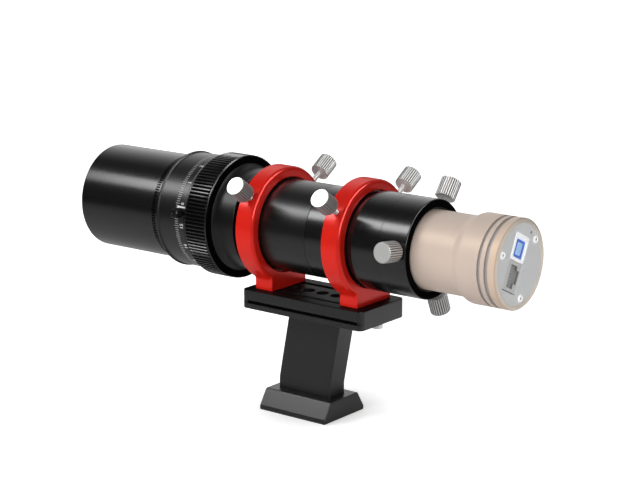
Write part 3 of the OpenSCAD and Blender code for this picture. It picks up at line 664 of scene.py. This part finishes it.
# along from the screw's outer end, the radius there, and the ribs' share
lockHead = [(-3.9, lock["head"], 1), (-0.45, lock["head"], 1), (-0.3, 1.78), (0, 1.5), (0, 0.9),
            (-0.35, 0.7), (-0.35, 0)]
headStart = lock["reach"] - lock["length"]
piece("focusLock", placed(turned([
    (lock["tip"], 0), (lock["tip"], lock["shank"]), (headStart, lock["shank"]), (headStart, 1.5),
    *[(lock["reach"] + x, *rest) for x, *rest in lockHead]], 144, lockRidge), lockPlace),
    blackSteel, "focus_lock", ["focus_lock"])
print("focuser made")

shield = {"wall": 0.9, "seatStart": -74.0, "seatBore": 21.70, "edge": 0.3, "tickBand": 3.0,
          "ticks": 126, "tickDepth": 0.42, "tickStart": 0.3, "tickEnd": 0.8, "plainBand": 1.1}
shieldRadius = (shieldHigh.z - shieldLow.z) / 2
shieldBore, tickTop = shieldRadius - shield["wall"], shieldRadius - 0.03
bandFront, plainFront = (shieldHigh.x - shield[key] for key in ("tickBand", "plainBand"))


def fineTick(turn, x):
    phase = (turn * shield["ticks"] / (2 * math.pi)) % 1
    return shield["tickDepth"] if shield["tickStart"] < phase < shield["tickEnd"] else 0


piece("dewShield", lathed([
    (shieldLow.x, shieldBore, 0.2), (shieldLow.x, shieldRadius, shield["edge"]),
    (bandFront - 0.02, shieldRadius, 0.1), (bandFront - 0.02, shield["seatBore"]),
    (shield["seatStart"], shield["seatBore"]), (shield["seatStart"], shieldBore)], 224),
    blackSatin, "objective", ["dew_shield"])
piece("shieldTicks", placed(turned([
    (bandFront, shield["seatBore"]), (bandFront, shieldRadius - 0.26),
    (bandFront + 0.06, tickTop, 1), (plainFront - 0.05, tickTop, 1), (plainFront, tickTop),
    (shieldHigh.x - 0.12, shieldRadius - 0.02), (shieldHigh.x, shieldRadius - 0.15),
    (shieldHigh.x, shield["seatBore"])], shield["ticks"] * 8, fineTick), onAxis),
    ribSkin("tickGrip", shieldRadius - 0.06, shieldRadius - 0.18), "objective")
print("dew shield made")

redSatin = redSkin("redSatin", (0.88, 0.022, 0.012), (0.82, 0.018, 0.01))
redRing = {"wall": 4.3, "foot": 11.4, "fillet": 1.8, "shoulder": 1.7, "footEdge": 0.75,
           "frontEdge": 0.35, "boreEdge": 0.3, "screws": (-56.7, 55), "screwHole": 1.25,
           "seat": 3.05, "seatDepth": 0.85, "boltY": 4.9, "boltHole": 1.5, "pad": 2.55,
           "padDepth": 1.6}
plateTop, plateBottom = plateHigh.z, plateLow.z
ringDrop = axisHeight - plateTop


def ringOutline(radius):
    # half outline as (y, z, rounding of the rear edge) from the top round to the foot's middle
    half, fillet = redRing["foot"], redRing["fillet"]
    cy = half + fillet
    cz = -math.sqrt((radius + fillet) ** 2 - cy ** 2)
    meet = math.pi - math.atan2(cy, -cz)
    made = [(radius * math.sin(meet * k / 70), radius * math.cos(meet * k / 70),
             redRing["shoulder"]) for k in range(70)]
    start = math.atan2(-cz, -cy)
    for k in range(9):
        turn = start + (math.pi - start) * k / 8
        share = k / 8
        made.append((cy + fillet * math.cos(turn), cz + fillet * math.sin(turn),
                     redRing["shoulder"] + (redRing["footEdge"] - redRing["shoulder"])
                     * share * share * (3 - 2 * share)))
    for k in (1, 2, 3):
        made.append((half, cz + (-ringDrop + 0.3 - cz) * k / 3, redRing["footEdge"]))
    made.append((half - 0.1, -ringDrop + 0.1, 0.5))
    for k in range(10):
        made.append(((half - 0.3) * (1 - k / 10), -ringDrop, 0.3))
    mirrored = [(-y, z, r) for y, z, r in made[1:][::-1]]
    return made + [(0, -ringDrop, 0.3)] + mirrored


def redRingPiece(name, node):
    low, high = span(node)
    radius = high.z - axisHeight
    bore, middle = radius - redRing["wall"], (low.x + high.x) / 2
    outline = ringOutline(radius)
    count = len(outline)
    normals, bores = [], []
    for i, (y, z, _) in enumerate(outline):
        after, before = outline[(i + 1) % count], outline[i - 1]
        normals.append(Vector((-(after[1] - before[1]), after[0] - before[0])).normalized())
        turn = math.atan2(y, z)
        bores.append((math.sin(turn), math.cos(turn)))

    def station(x, inset):
        return [(x(r), y + n.x * inset(r), axisHeight + z + n.y * inset(r))
                for (y, z, r), n in zip(outline, normals)]

    def boreStation(x, r):
        return [(x, y * r, axisHeight + z * r) for y, z in bores]

    edge, inside = redRing["frontEdge"], redRing["boreEdge"]
    rings = [station(lambda r: low.x, lambda r: -edge),
             station(lambda r: low.x + edge * 0.3, lambda r: -edge * 0.3),
             station(lambda r: low.x + edge, lambda r: 0)]
    for k in range(9):
        turn = math.radians(90 * k / 8)
        rings.append(station(lambda r: high.x - r + r * math.sin(turn),
                             lambda r: -r * (1 - math.cos(turn))))
    rings += [boreStation(high.x, bore + inside), boreStation(high.x - inside, bore),
              boreStation(low.x + inside, bore), boreStation(low.x, bore + inside)]
    cutters = []
    for angle in redRing["screws"]:
        for r, start in ((redRing["screwHole"], bore - 3),
                         (redRing["seat"], radius - redRing["seatDepth"])):
            cutters.append(rod(start, radius + 3, r, outward(middle, angle)))
    padTop = axisHeight - bore
    cutters.append(drill(middle, 0, padTop - redRing["padDepth"], padTop + 1, redRing["pad"]))
    for side in (-1, 1):
        cutters.append(drill(middle, side * redRing["boltY"], plateTop - 1, plateTop + 1.9,
                             redRing["boltHole"]))
    piece(name, loft(rings, looped=True), redSatin, "base", [node], cutters,
          crease=40)
    return middle


ringFrontX = redRingPiece("ringFront", "ring_front")
ringRearX = redRingPiece("ringRear", "ring_rear")
print("rings made")

plate = {"corner": 2.6, "edge": 0.35, "grooveHeight": 1.4, "grooveDepth": 1.0, "grooveAt": 0.37,
         "shadeEnd": 2.7, "slotY": 8.4, "slotWidth": 2.5, "slotDepth": 2.5, "slotPast": 6,
         "slotFlare": 0.22, "hole": 2.6, "holePitch": 7.2, "holeFlare": 0.25, "screwSeat": 2.4,
         "screwHead": 1.6, "boltHead": 2.95, "boltSeat": 2.2, "stopBack": 2.9, "stopHole": 1.25}
plateX = (plateLow.x + plateHigh.x) / 2
plateLength, plateWidth = plateHigh.x - plateLow.x, plateHigh.y - plateLow.y
grooveZ = plateBottom + (plateTop - plateBottom) * plate["grooveAt"]


def grooveBar(side, inner, outer, end, slack):
    # a bar along one of the side grooves, between two distances from the middle
    tall = plate["grooveHeight"] / 2 - slack
    return block(plateLow.x + end, plateHigh.x - end, *sorted((side * inner, side * outer)),
                 grooveZ - tall, grooveZ + tall)


def underside(x, y, depth, radius):
    return drill(x, y, plateBottom - 1, plateBottom + depth, radius)


cutters, grooveFloor = [], plateWidth / 2 - plate["grooveDepth"]
slotLength = ringRearX - ringFrontX + plate["slotPast"] + plate["slotWidth"]
for side in (-1, 1):
    cutters.append(grooveBar(side, grooveFloor, plateWidth / 2 + 1, -1, 0))
    cutters.append(slab(roundedBox(slotLength, plate["slotWidth"], plate["slotWidth"] / 2 - 0.01,
                                   (plateX, side * plate["slotY"])),
                        [(plateTop - plate["slotDepth"], 0), (plateTop - 0.2, 0),
                         (plateTop + 0.05, -plate["slotFlare"]),
                         (plateTop + 1, -plate["slotFlare"])]))
for k in range(-2, 3):
    x = plateX + k * plate["holePitch"]
    bottom = plateBottom - 1 if k % 2 == 0 else plateBottom + plate["screwSeat"]
    cutters.append(drill(x, 0, bottom, plateTop + 0.02, plate["hole"], plate["holeFlare"]))
    if k % 2:
        cutters.append(underside(x, 0, 2.5, plate["screwHead"]))
cutters += [underside(x, side * redRing["boltY"], plate["boltSeat"], plate["boltHead"])
            for x in (ringFrontX, ringRearX) for side in (-1, 1)]
cutters.append(underside(plateHigh.x - plate["stopBack"], 0, 3.5, plate["stopHole"]))
edge = plate["edge"]
piece("mountPlate", slab(roundedBox(plateLength, plateWidth, plate["corner"], (plateX, 0)), [
    (plateBottom, edge), (plateBottom + edge * 0.3, edge * 0.3), (plateBottom + edge, 0),
    (plateTop - edge, 0), (plateTop - edge * 0.3, edge * 0.3), (plateTop, edge)]),
    plateSkin("plateBlack", plateTop), "base", ["mount_plate"], cutters)
# a thin near-black strip at the floor of each side groove: painted shade
piece("grooveShade", together(*[
    grooveBar(side, grooveFloor - 0.1, grooveFloor + 0.12, plate["shadeEnd"], 0.02)
    for side in (-1, 1)]), shadeBlack, "base")

base = {"lip": 1.8, "topWidth": 18.5, "screwX": 8, "screwHole": 1.6, "screwHead": 3.0,
        "headDepth": 2.2, "footEdge": 0.45, "postEdge": 0.8, "postLength": 26.5,
        "postStraight": 4.6}
footHalf, topHalf = footHigh.y, base["topWidth"] / 2
footSection = [(-footHalf, 0), (footHalf, 0), (footHalf, base["lip"]), (topHalf, footHigh.z),
               (-topHalf, footHigh.z), (-footHalf, base["lip"])]
piece("finderFoot", bevelled(loft([[(x, y, z) for y, z in footSection]
                                   for x in (footLow.x, footHigh.x)]), base["footEdge"]),
      blackBlasted, "base", ["finder_foot"],
      [drill(side * base["screwX"], 0, -1, top, radius) for side in (-1, 1)
       for top, radius in ((base["headDepth"], base["screwHead"]),
                           (footHigh.z, base["screwHole"]))])
lean, half = postHigh.x - base["postLength"] / 2, base["postLength"] / 2
bend = postLow.z + base["postStraight"]
postSection = [(-half, postLow.z), (half, postLow.z), (half, bend), (lean + half, postHigh.z),
               (lean - half, postHigh.z), (-half, bend)]
piece("post", bevelled(loft([[(x, y, z) for x, z in postSection]
                             for y in (postLow.y, postHigh.y)]), base["postEdge"],
                       keep=lambda middle: any(abs(middle.z - z) < 0.1
                                               for z in (postLow.z, bend, postHigh.z))),
      blackBlasted, "base", ["post"])
print("plate, post and foot made")

ringScrew = {"head": 4.0, "length": 8, "neckIn": 0.46, "ribs": 26, "ribDepth": 0.3, "crest": 0.3,
             "shank": 1.15, "thread": 0.5, "threadDepth": 0.14, "tip": 19.3,
             "reach": {"fl": 35.4, "fr": 38.9, "rl": 37, "rr": 38.7}}
holderScrew = {**ringScrew, "head": 4.15, "length": 8.2, "tip": 16.995,
               "reach": {"side": 28.8, "upper": 30.2, "lower": 30.2}}


def thumbscrew(name, body, size, x, angle, reach):
    # body is also the name of the solid
    head, start = size["head"], reach - size["length"]

    def knurl(turn, place):
        # straight ribs with narrow crests and sharp valleys
        phase = abs((turn * size["ribs"] / (2 * math.pi)) % 1 - 0.5) * 2
        return size["ribDepth"] * max(0.0, phase - size["crest"]) / (1 - size["crest"])

    def thread(turn, place):
        return size["threadDepth"] * (
            0.5 + 0.5 * math.cos(2 * math.pi * place / size["thread"] - turn))

    outline = [(start, 0), (start, head - size["neckIn"]), (start + 0.06, head - 0.4),
               (start + 0.14, head - 0.2, 0.6), (start + 0.34, head, 1), (reach - 0.25, head, 1),
               (reach - 0.1, head - 0.12, 0.6), (reach - 0.05, head - 0.26), (reach, head - 0.3),
               (reach, 0)]
    turns = int((start - size["tip"]) / size["thread"] * 6)
    shank = [(size["tip"], 0), (size["tip"], size["shank"] - 0.3)]
    shank += [(size["tip"] + 0.3 + (start - size["tip"] - 0.25) * k / turns, size["shank"], 1)
              for k in range(turns + 1)] + [(start + 0.1, 0)]
    shape = together(turned(outline, size["ribs"] * 10, knurl), turned(shank, 24, thread))
    where = outward(x, angle)
    made = piece(name, placed(shape, where), silver, body, [body])
    axis = where.to_3x3() @ Vector((1, 0, 0))

    def inValley(face):
        spot = where.inverted() @ (face.center / mm)
        return (start + 0.3 < spot.x < reach - 0.3
                and spot.yz.length < head - size["ribDepth"] * 0.35)

    # the end faces get the lighter silver: painted light
    repaint(made, litSilverFace, lambda face: abs(face.normal.dot(axis)) > 0.95)
    # the knurl valleys get the darker silver: painted shade
    repaint(made, silverValleyShade, inValley)


for end, x, side in (("fl", ringFrontX, 1), ("fr", ringFrontX, 0), ("rl", ringRearX, 1),
                     ("rr", ringRearX, 0)):
    thumbscrew("ringScrew." + end, "ring_screw_" + end, ringScrew, x, redRing["screws"][side],
               ringScrew["reach"][end])
for end, angle in zip(("side", "upper", "lower"), holder["screwAngles"]):
    thumbscrew("holderScrew." + end, "holder_screw_" + end, holderScrew, clampX, angle,
               holderScrew["reach"][end])
print("thumbscrews made")

shell = {"nose": 15.875, "bore": 13.6, "flareBehind": 18.7, "flareLength": 3.5, "disc": 16.0,
         "rim": 0.8, "discThick": 1.3, "discFit": 0.06, "grooveDepth": 0.9,
         "grooves": ((8.5, 1.3), (5.4, 1.6)), "cavity": 14.7, "mouth": 11, "windowDepth": 2.5,
         "roll": -25.5}
headRadius = (bodyHigh.z - bodyLow.z) / 2
nose, bore, disc = (shell[key] for key in ("nose", "bore", "disc"))
cavity, mouth = shell["cavity"], shell["mouth"]
backX, noseFront, discFit = bodyHigh.x, bodyLow.x, disc + shell["discFit"]
flareX = holderHigh.x + shell["flareBehind"]
headX, discX = flareX + shell["flareLength"], backX - shell["rim"] - shell["discThick"]
discRear, grooveRadius = discX + shell["discThick"], headRadius - shell["grooveDepth"]
cavityX, windowX = headX + 0.8, headX - shell["windowDepth"]
outline = [(noseFront, bore), (noseFront, nose, 0.35), (flareX, nose, 1.2),
           (headX, headRadius, 1.2)]
for behind, width in shell["grooves"]:
    x = backX - behind
    outline += [(x, headRadius, 0.18), (x, grooveRadius, 0.12),
                (x + width, grooveRadius, 0.12), (x + width, headRadius, 0.18)]
outline += [(backX - 0.9, headRadius, 0.3), (backX, disc + 0.25, 0.15), (backX - 0.1, discFit),
            (discX, discFit), (discX, cavity), (cavityX, cavity), (cavityX, mouth),
            (windowX, mouth), (windowX, bore)]
piece("cameraShell", lathed(outline, 224, 1.5),
      shellSkin("shellSatin", (0.76, 0.62, 0.535), (0.72, 0.59, 0.515), (0.52, 0.49, 0.49),
                headRadius), "camera", ["camera_body"])

sockets = {"u": -2.6, "depth": 9, "data": 9.9, "dataV": 5.85, "mouth": (7.6, 7.2),
           "mouthAt": (0.35, -0.45), "core": (7.5, 7.1), "slit": (0.45, 5.4), "slitAt": 2.35,
           "tongue": (3.4, 4.8), "guide": (10, 11.4), "guideV": -5.55, "pin": 0.5,
           "pinPitch": (-0.3, 1.25), "ledAngle": 79, "led": 0.45, "screwRadius": 13.5,
           "screwAngles": (60, 180, -60), "screwHole": 0.85, "screwHead": 1.4, "hexagon": 0.92}
u, dataV, guideV, depth = (sockets[key] for key in ("u", "dataV", "guideV", "depth"))
guideWidth, guideHeight = sockets["guide"]
guideU, floorX = u - 4.6 + guideWidth / 2, discRear - depth
mouthAt = (u + sockets["mouthAt"][0], dataV + sockets["mouthAt"][1])


def behindCamera(x):
    # local x to the right, y up and z backwards, as seen from behind
    turn = Matrix.Rotation(math.radians(shell["roll"]), 4, "X")
    swap = Matrix(((0, 0, 1, 0), (1, 0, 0, 0), (0, 1, 0, 0), (0, 0, 0, 1)))
    return Matrix.Translation((x, 0, axisHeight)) @ turn @ swap


def socketBlock(size, corner, centre, levels):
    return slab(roundedBox(*size, corner, centre), levels)


def socketPiece(name, shape, finish, replaced=(), cutters=()):
    # heights are counted from the sockets' floor
    where = behindCamera(floorX)
    return piece(name, placed(shape, where), finish, "camera", replaced,
                 [placed(cutter, where) for cutter in cutters])


def onBack(radius, angle):
    turn = math.radians(angle)
    return radius * math.cos(turn), radius * math.sin(turn)


cutters = [socketBlock((sockets["data"] + 0.24,) * 2, 0.5, (u, dataV),
                       [(-2, 0), (1.2, 0), (1.35, -0.12), (4, -0.12)]),
           socketBlock((guideWidth + 0.5, guideHeight + 0.5), 0.3, (guideU - 0.2, guideV - 0.2),
                       [(-2, 0), (4, 0)])]
holes = [(sockets["screwRadius"], a, sockets["screwHole"]) for a in sockets["screwAngles"]]
for radius, angle, hole in [*holes, (disc - 2.4, sockets["ledAngle"], sockets["led"] + 0.1)]:
    cutters.append(drill(*onBack(radius, angle), -2, 5, hole, steps=24))
piece("cameraBack", placed(turned([
    (discX, 0), (discX, disc), (discRear - 0.15, disc), (discRear, disc - 0.15),
    (discRear, 0)]), onAxis), backSatin, "camera",
      ["camera_back"], [placed(cutter, behindCamera(discX)) for cutter in cutters])

socketPiece("dataPort", socketBlock((sockets["data"],) * 2, 0.4, (u, dataV), [
    (0, 0), (depth - 0.05, 0), (depth + 0.1, 0.15)]), socketWhite, ["data_port"],
    [socketBlock(sockets["mouth"], 0.7, mouthAt, [
        (1, 0), (depth - 0.1, 0), (depth + 0.15, -0.2), (depth + 1, -0.2)])])
socketPiece("dataInsert", socketBlock(sockets["core"], 0.6, mouthAt, [
    (1.02, 0), (depth - 0.75, 0)]), socketBlue, ["data_insert"],
    [socketBlock(sockets["slit"], 0.15, (mouthAt[0] + side * sockets["slitAt"], mouthAt[1]),
                 [(4.4, 0), (depth, 0)]) for side in (-1, 1)])
socketPiece("dataTongue", socketBlock(sockets["tongue"], 0.4, mouthAt, [
    (depth - 0.75, 0), (depth - 0.45, 0), (depth - 0.3, 0.2)]), tongueBlue)


def steppedSlot(shrink, levels):
    # the keyed mouth: a tall slot with a shorter step on its right
    left, middle, right = u - 2.2 + shrink, u + 2.25 - shrink, u + 4.2 - shrink
    low, high = guideV - 4.4 + shrink, guideV + 4.45 - shrink
    stepLow, stepHigh = guideV - 2.3 + shrink, guideV + 3 - shrink
    return slab([(left, low), (middle, low), (middle, stepLow), (right, stepLow),
                 (right, stepHigh), (middle, stepHigh), (middle, high), (left, high)], levels)


# the guide port's side walls, inside and out, in mid grey: painted shade
repaint(socketPiece("guidePort", socketBlock(sockets["guide"], 0.5, (guideU, guideV), [
    (0, 0), (depth - 0.55, 0), (depth - 0.3, 0.25)]), socketGrey, ["guide_port"],
    [steppedSlot(0, [(0.8, 0), (depth + 1, 0)])]), shadeGrey, lambda face: abs(face.normal.x) < 0.3)
socketPiece("guideCore", steppedSlot(0.03, [(0.82, 0), (depth - 1.1, 0)]), cavityGrey)
across, up = sockets["pinPitch"]
socketPiece("guidePins", together(*[
    socketBlock((sockets["pin"],) * 2, 0.15, (u + 1.2 + across * k, guideV - 3.4 + up * k),
                [(depth - 1.1, 0), (depth - 0.9, 0.1)]) for k in range(6)]), pinGrey)

screwHead, hexagon = sockets["screwHead"], sockets["hexagon"]


def onScrews(corners, steps):
    # one turned shape for each of the back screws
    return [placed(turned(corners, steps), behindCamera(discRear) @ Matrix.Translation(
        (*onBack(sockets["screwRadius"], angle), 0)) @ upright) for angle in sockets["screwAngles"]]


piece("backScrews", together(*onScrews([
    (-6, 0), (-6, 0.8), (0, 0.8), (0, screwHead), (0.3, screwHead), (0.55, screwHead - 0.15),
    (0.7, screwHead - 0.45), (0.7, 0)], 48)), screwWhite, "camera", ["back_screws"],
    onScrews([(0.1, 0), (0.1, hexagon), (0.62, hexagon), (0.85, 1.05), (1, 0)], 6))
# grey discs at the bottoms of the back screws' sockets: painted shade
piece("screwSocketShade", together(*onScrews([(0.11, 0), (0.11, 0.77), (0.25, 0.7), (0.25, 0)], 24)),
      shadeGrey, "camera")
print("camera made")

# small and hidden pieces keep their own shape and only get a finish
carried = {
    steel: ["foot_screws", "ring_bolts", "stop_screw", "slide_key", "ring_keeper"],
    blackSteel: ["plate_screws"],
    nylon: ["ring_pads"],
    blackMatte: ["baffle", "objective_cell", "lens_spacer", "lens_retainer", "window_ring"],
    brass: ["clamp_band", "board_posts"],
    lensGlass: ["lens_crown", "lens_flint", "camera_window"],
    boardGreen: ["port_board", "sensor_board"],
    sensorChip: ["image_sensor"],
    ledRed: ["status_led"]}
for finish, nodes in carried.items():
    for name in nodes:
        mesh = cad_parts[name].data
        mesh.materials.clear()
        mesh.materials.append(finish)
print("inner parts finished")

studio = {"floorSize": 6.0, "paper": (0.82, 0.82, 0.82), "glow": 18.0, "fill": 0.72, "dimmer": 0.7,
          "darkRoom": 0.06, "backdrop": 1.15, "backdropSide": (-0.58, 0.74, 0.34),
          "target": (0.0, 0.0, 0.0775)}
floorMesh = bpy.data.meshes.new("floor")
floorWork = bmesh.new()
bmesh.ops.create_circle(floorWork, cap_ends=True, segments=96, radius=studio["floorSize"])
floorWork.to_mesh(floorMesh)
floorWork.free()
floor = added("floor", floorMesh)
paper = Finish("floorPaper")
seen, mirrored = paper.ray("Camera"), paper.ray("Glossy")
reach = paper.vector("LENGTH", paper.where(), out="Value")
sheet = paper.tint(paper.cloud(60), studio["paper"], tuple(c * 0.98 for c in studio["paper"]))
sunken = paper.tint(((reach - 0.18) * 2.2).clamped(), *greys(0.96, 0.06))
beside = paper.facing(paper.where(), (0.62, 0.78, 0))
brighter = mirrored * ((beside * 8).clamped() - (reach * 1.6 - 0.3).clamped()).clamped() * 0.7
glow = paper.tint(seen * (reach * studio["glow"] + 0.15).clamped() + brighter, *greys(0, 1))
floorMesh.materials.append(paper.shown(paper.principled({
    "Base Color": paper.tint(mirrored, sheet, sunken), "Roughness": 0.9,
    "Specular IOR Level": 0.0, "Emission Color": glow, "Emission Strength": 1.0})))

world = bpy.data.worlds.new("studio")
bpy.context.scene.world = world
room = Finish("room", world)
seen, mirrored, through = (room.ray(kind) for kind in ("Camera", "Glossy", "Transmission"))
direction = room.node("TexCoord", out="Generated")
behind = room.facing(direction, studio["backdropSide"])
backdrop = ((behind - 0.62) * 2.7).clamped() ** 2 * studio["backdrop"]
clear = (seen + through).clamped()
gloss = mirrored * (backdrop + studio["darkRoom"])
above = room.facing(direction, (0, 0, 1)).clamped()
fill = (1 - mirrored) * (studio["fill"] - above * studio["dimmer"])
strength = clear + (1 - clear) * (gloss + fill)
room.shown(room.node("Background", {"Color": (1, 1, 1, 1), "Strength": strength}),
           "World")

# towards, distance, width along the scope and height, watts, lights the matt share too
lamps = {"key": ((-0.52, -0.55, 0.635), 1.0, (0.5, 0.27), 5.1, False),
         "front": ((0.15, -0.9, 0.4), 0.8, (0.6, 0.6), 2.1, True),
         "keyMatt": ((-0.52, -0.55, 0.635), 1.0, (0.4, 0.27), 3.6, True),
         "right": ((0.77, -0.4, 0.48), 1.0, (0.3, 0.85), 9.5, False),
         "over": ((0.56, 0.2, 0.79), 1.0, (0.25, 0.85), 7.5, False),
         "top": ((0.5, 0.05, 0.83), 1.1, (0.4, 0.4), 1.0, False)}
target = Vector(studio["target"])
for name, (towards, distance, size, power, matt) in lamps.items():
    lamp = bpy.data.lights.new(name, "AREA")
    lamp.shape, lamp.size, lamp.size_y, lamp.energy = "RECTANGLE", size[0], size[1], power
    stand = added(name, lamp)
    away = Vector(towards).normalized()
    across = (Vector((1, 0, 0)) - away * away.x).normalized()
    stand.location = target + away * distance
    stand.rotation_euler = Matrix((across, away.cross(across), away)).transposed().to_euler()
    stand.visible_camera = False
    stand.visible_diffuse, stand.visible_glossy = matt, not matt

view = {"place": (0.46195, -0.59143, 0.24963), "turn": 37.89, "drop": 13.58, "roll": -0.02,
        "lens": 107.83}
turn, drop = math.radians(view["turn"]), math.radians(view["drop"])
forward = Vector((-math.sin(turn) * math.cos(drop), math.cos(turn) * math.cos(drop),
                  -math.sin(drop)))
lens = bpy.data.cameras.new("camera")
lens.lens, lens.sensor_width, lens.clip_start, lens.clip_end = view["lens"], 36, 0.01, 50
eye = added("camera", lens)
upwards = (-forward).to_track_quat("Z", "Y").to_matrix().to_4x4()
eye.rotation_mode = "QUATERNION"
eye.rotation_quaternion = (Matrix.Rotation(math.radians(view["roll"]), 4, forward)
                           @ upwards).to_quaternion()
eye.location = view["place"]
bpy.context.scene.camera = eye
bpy.context.scene.view_settings.view_transform = "Standard"
print("studio ready")
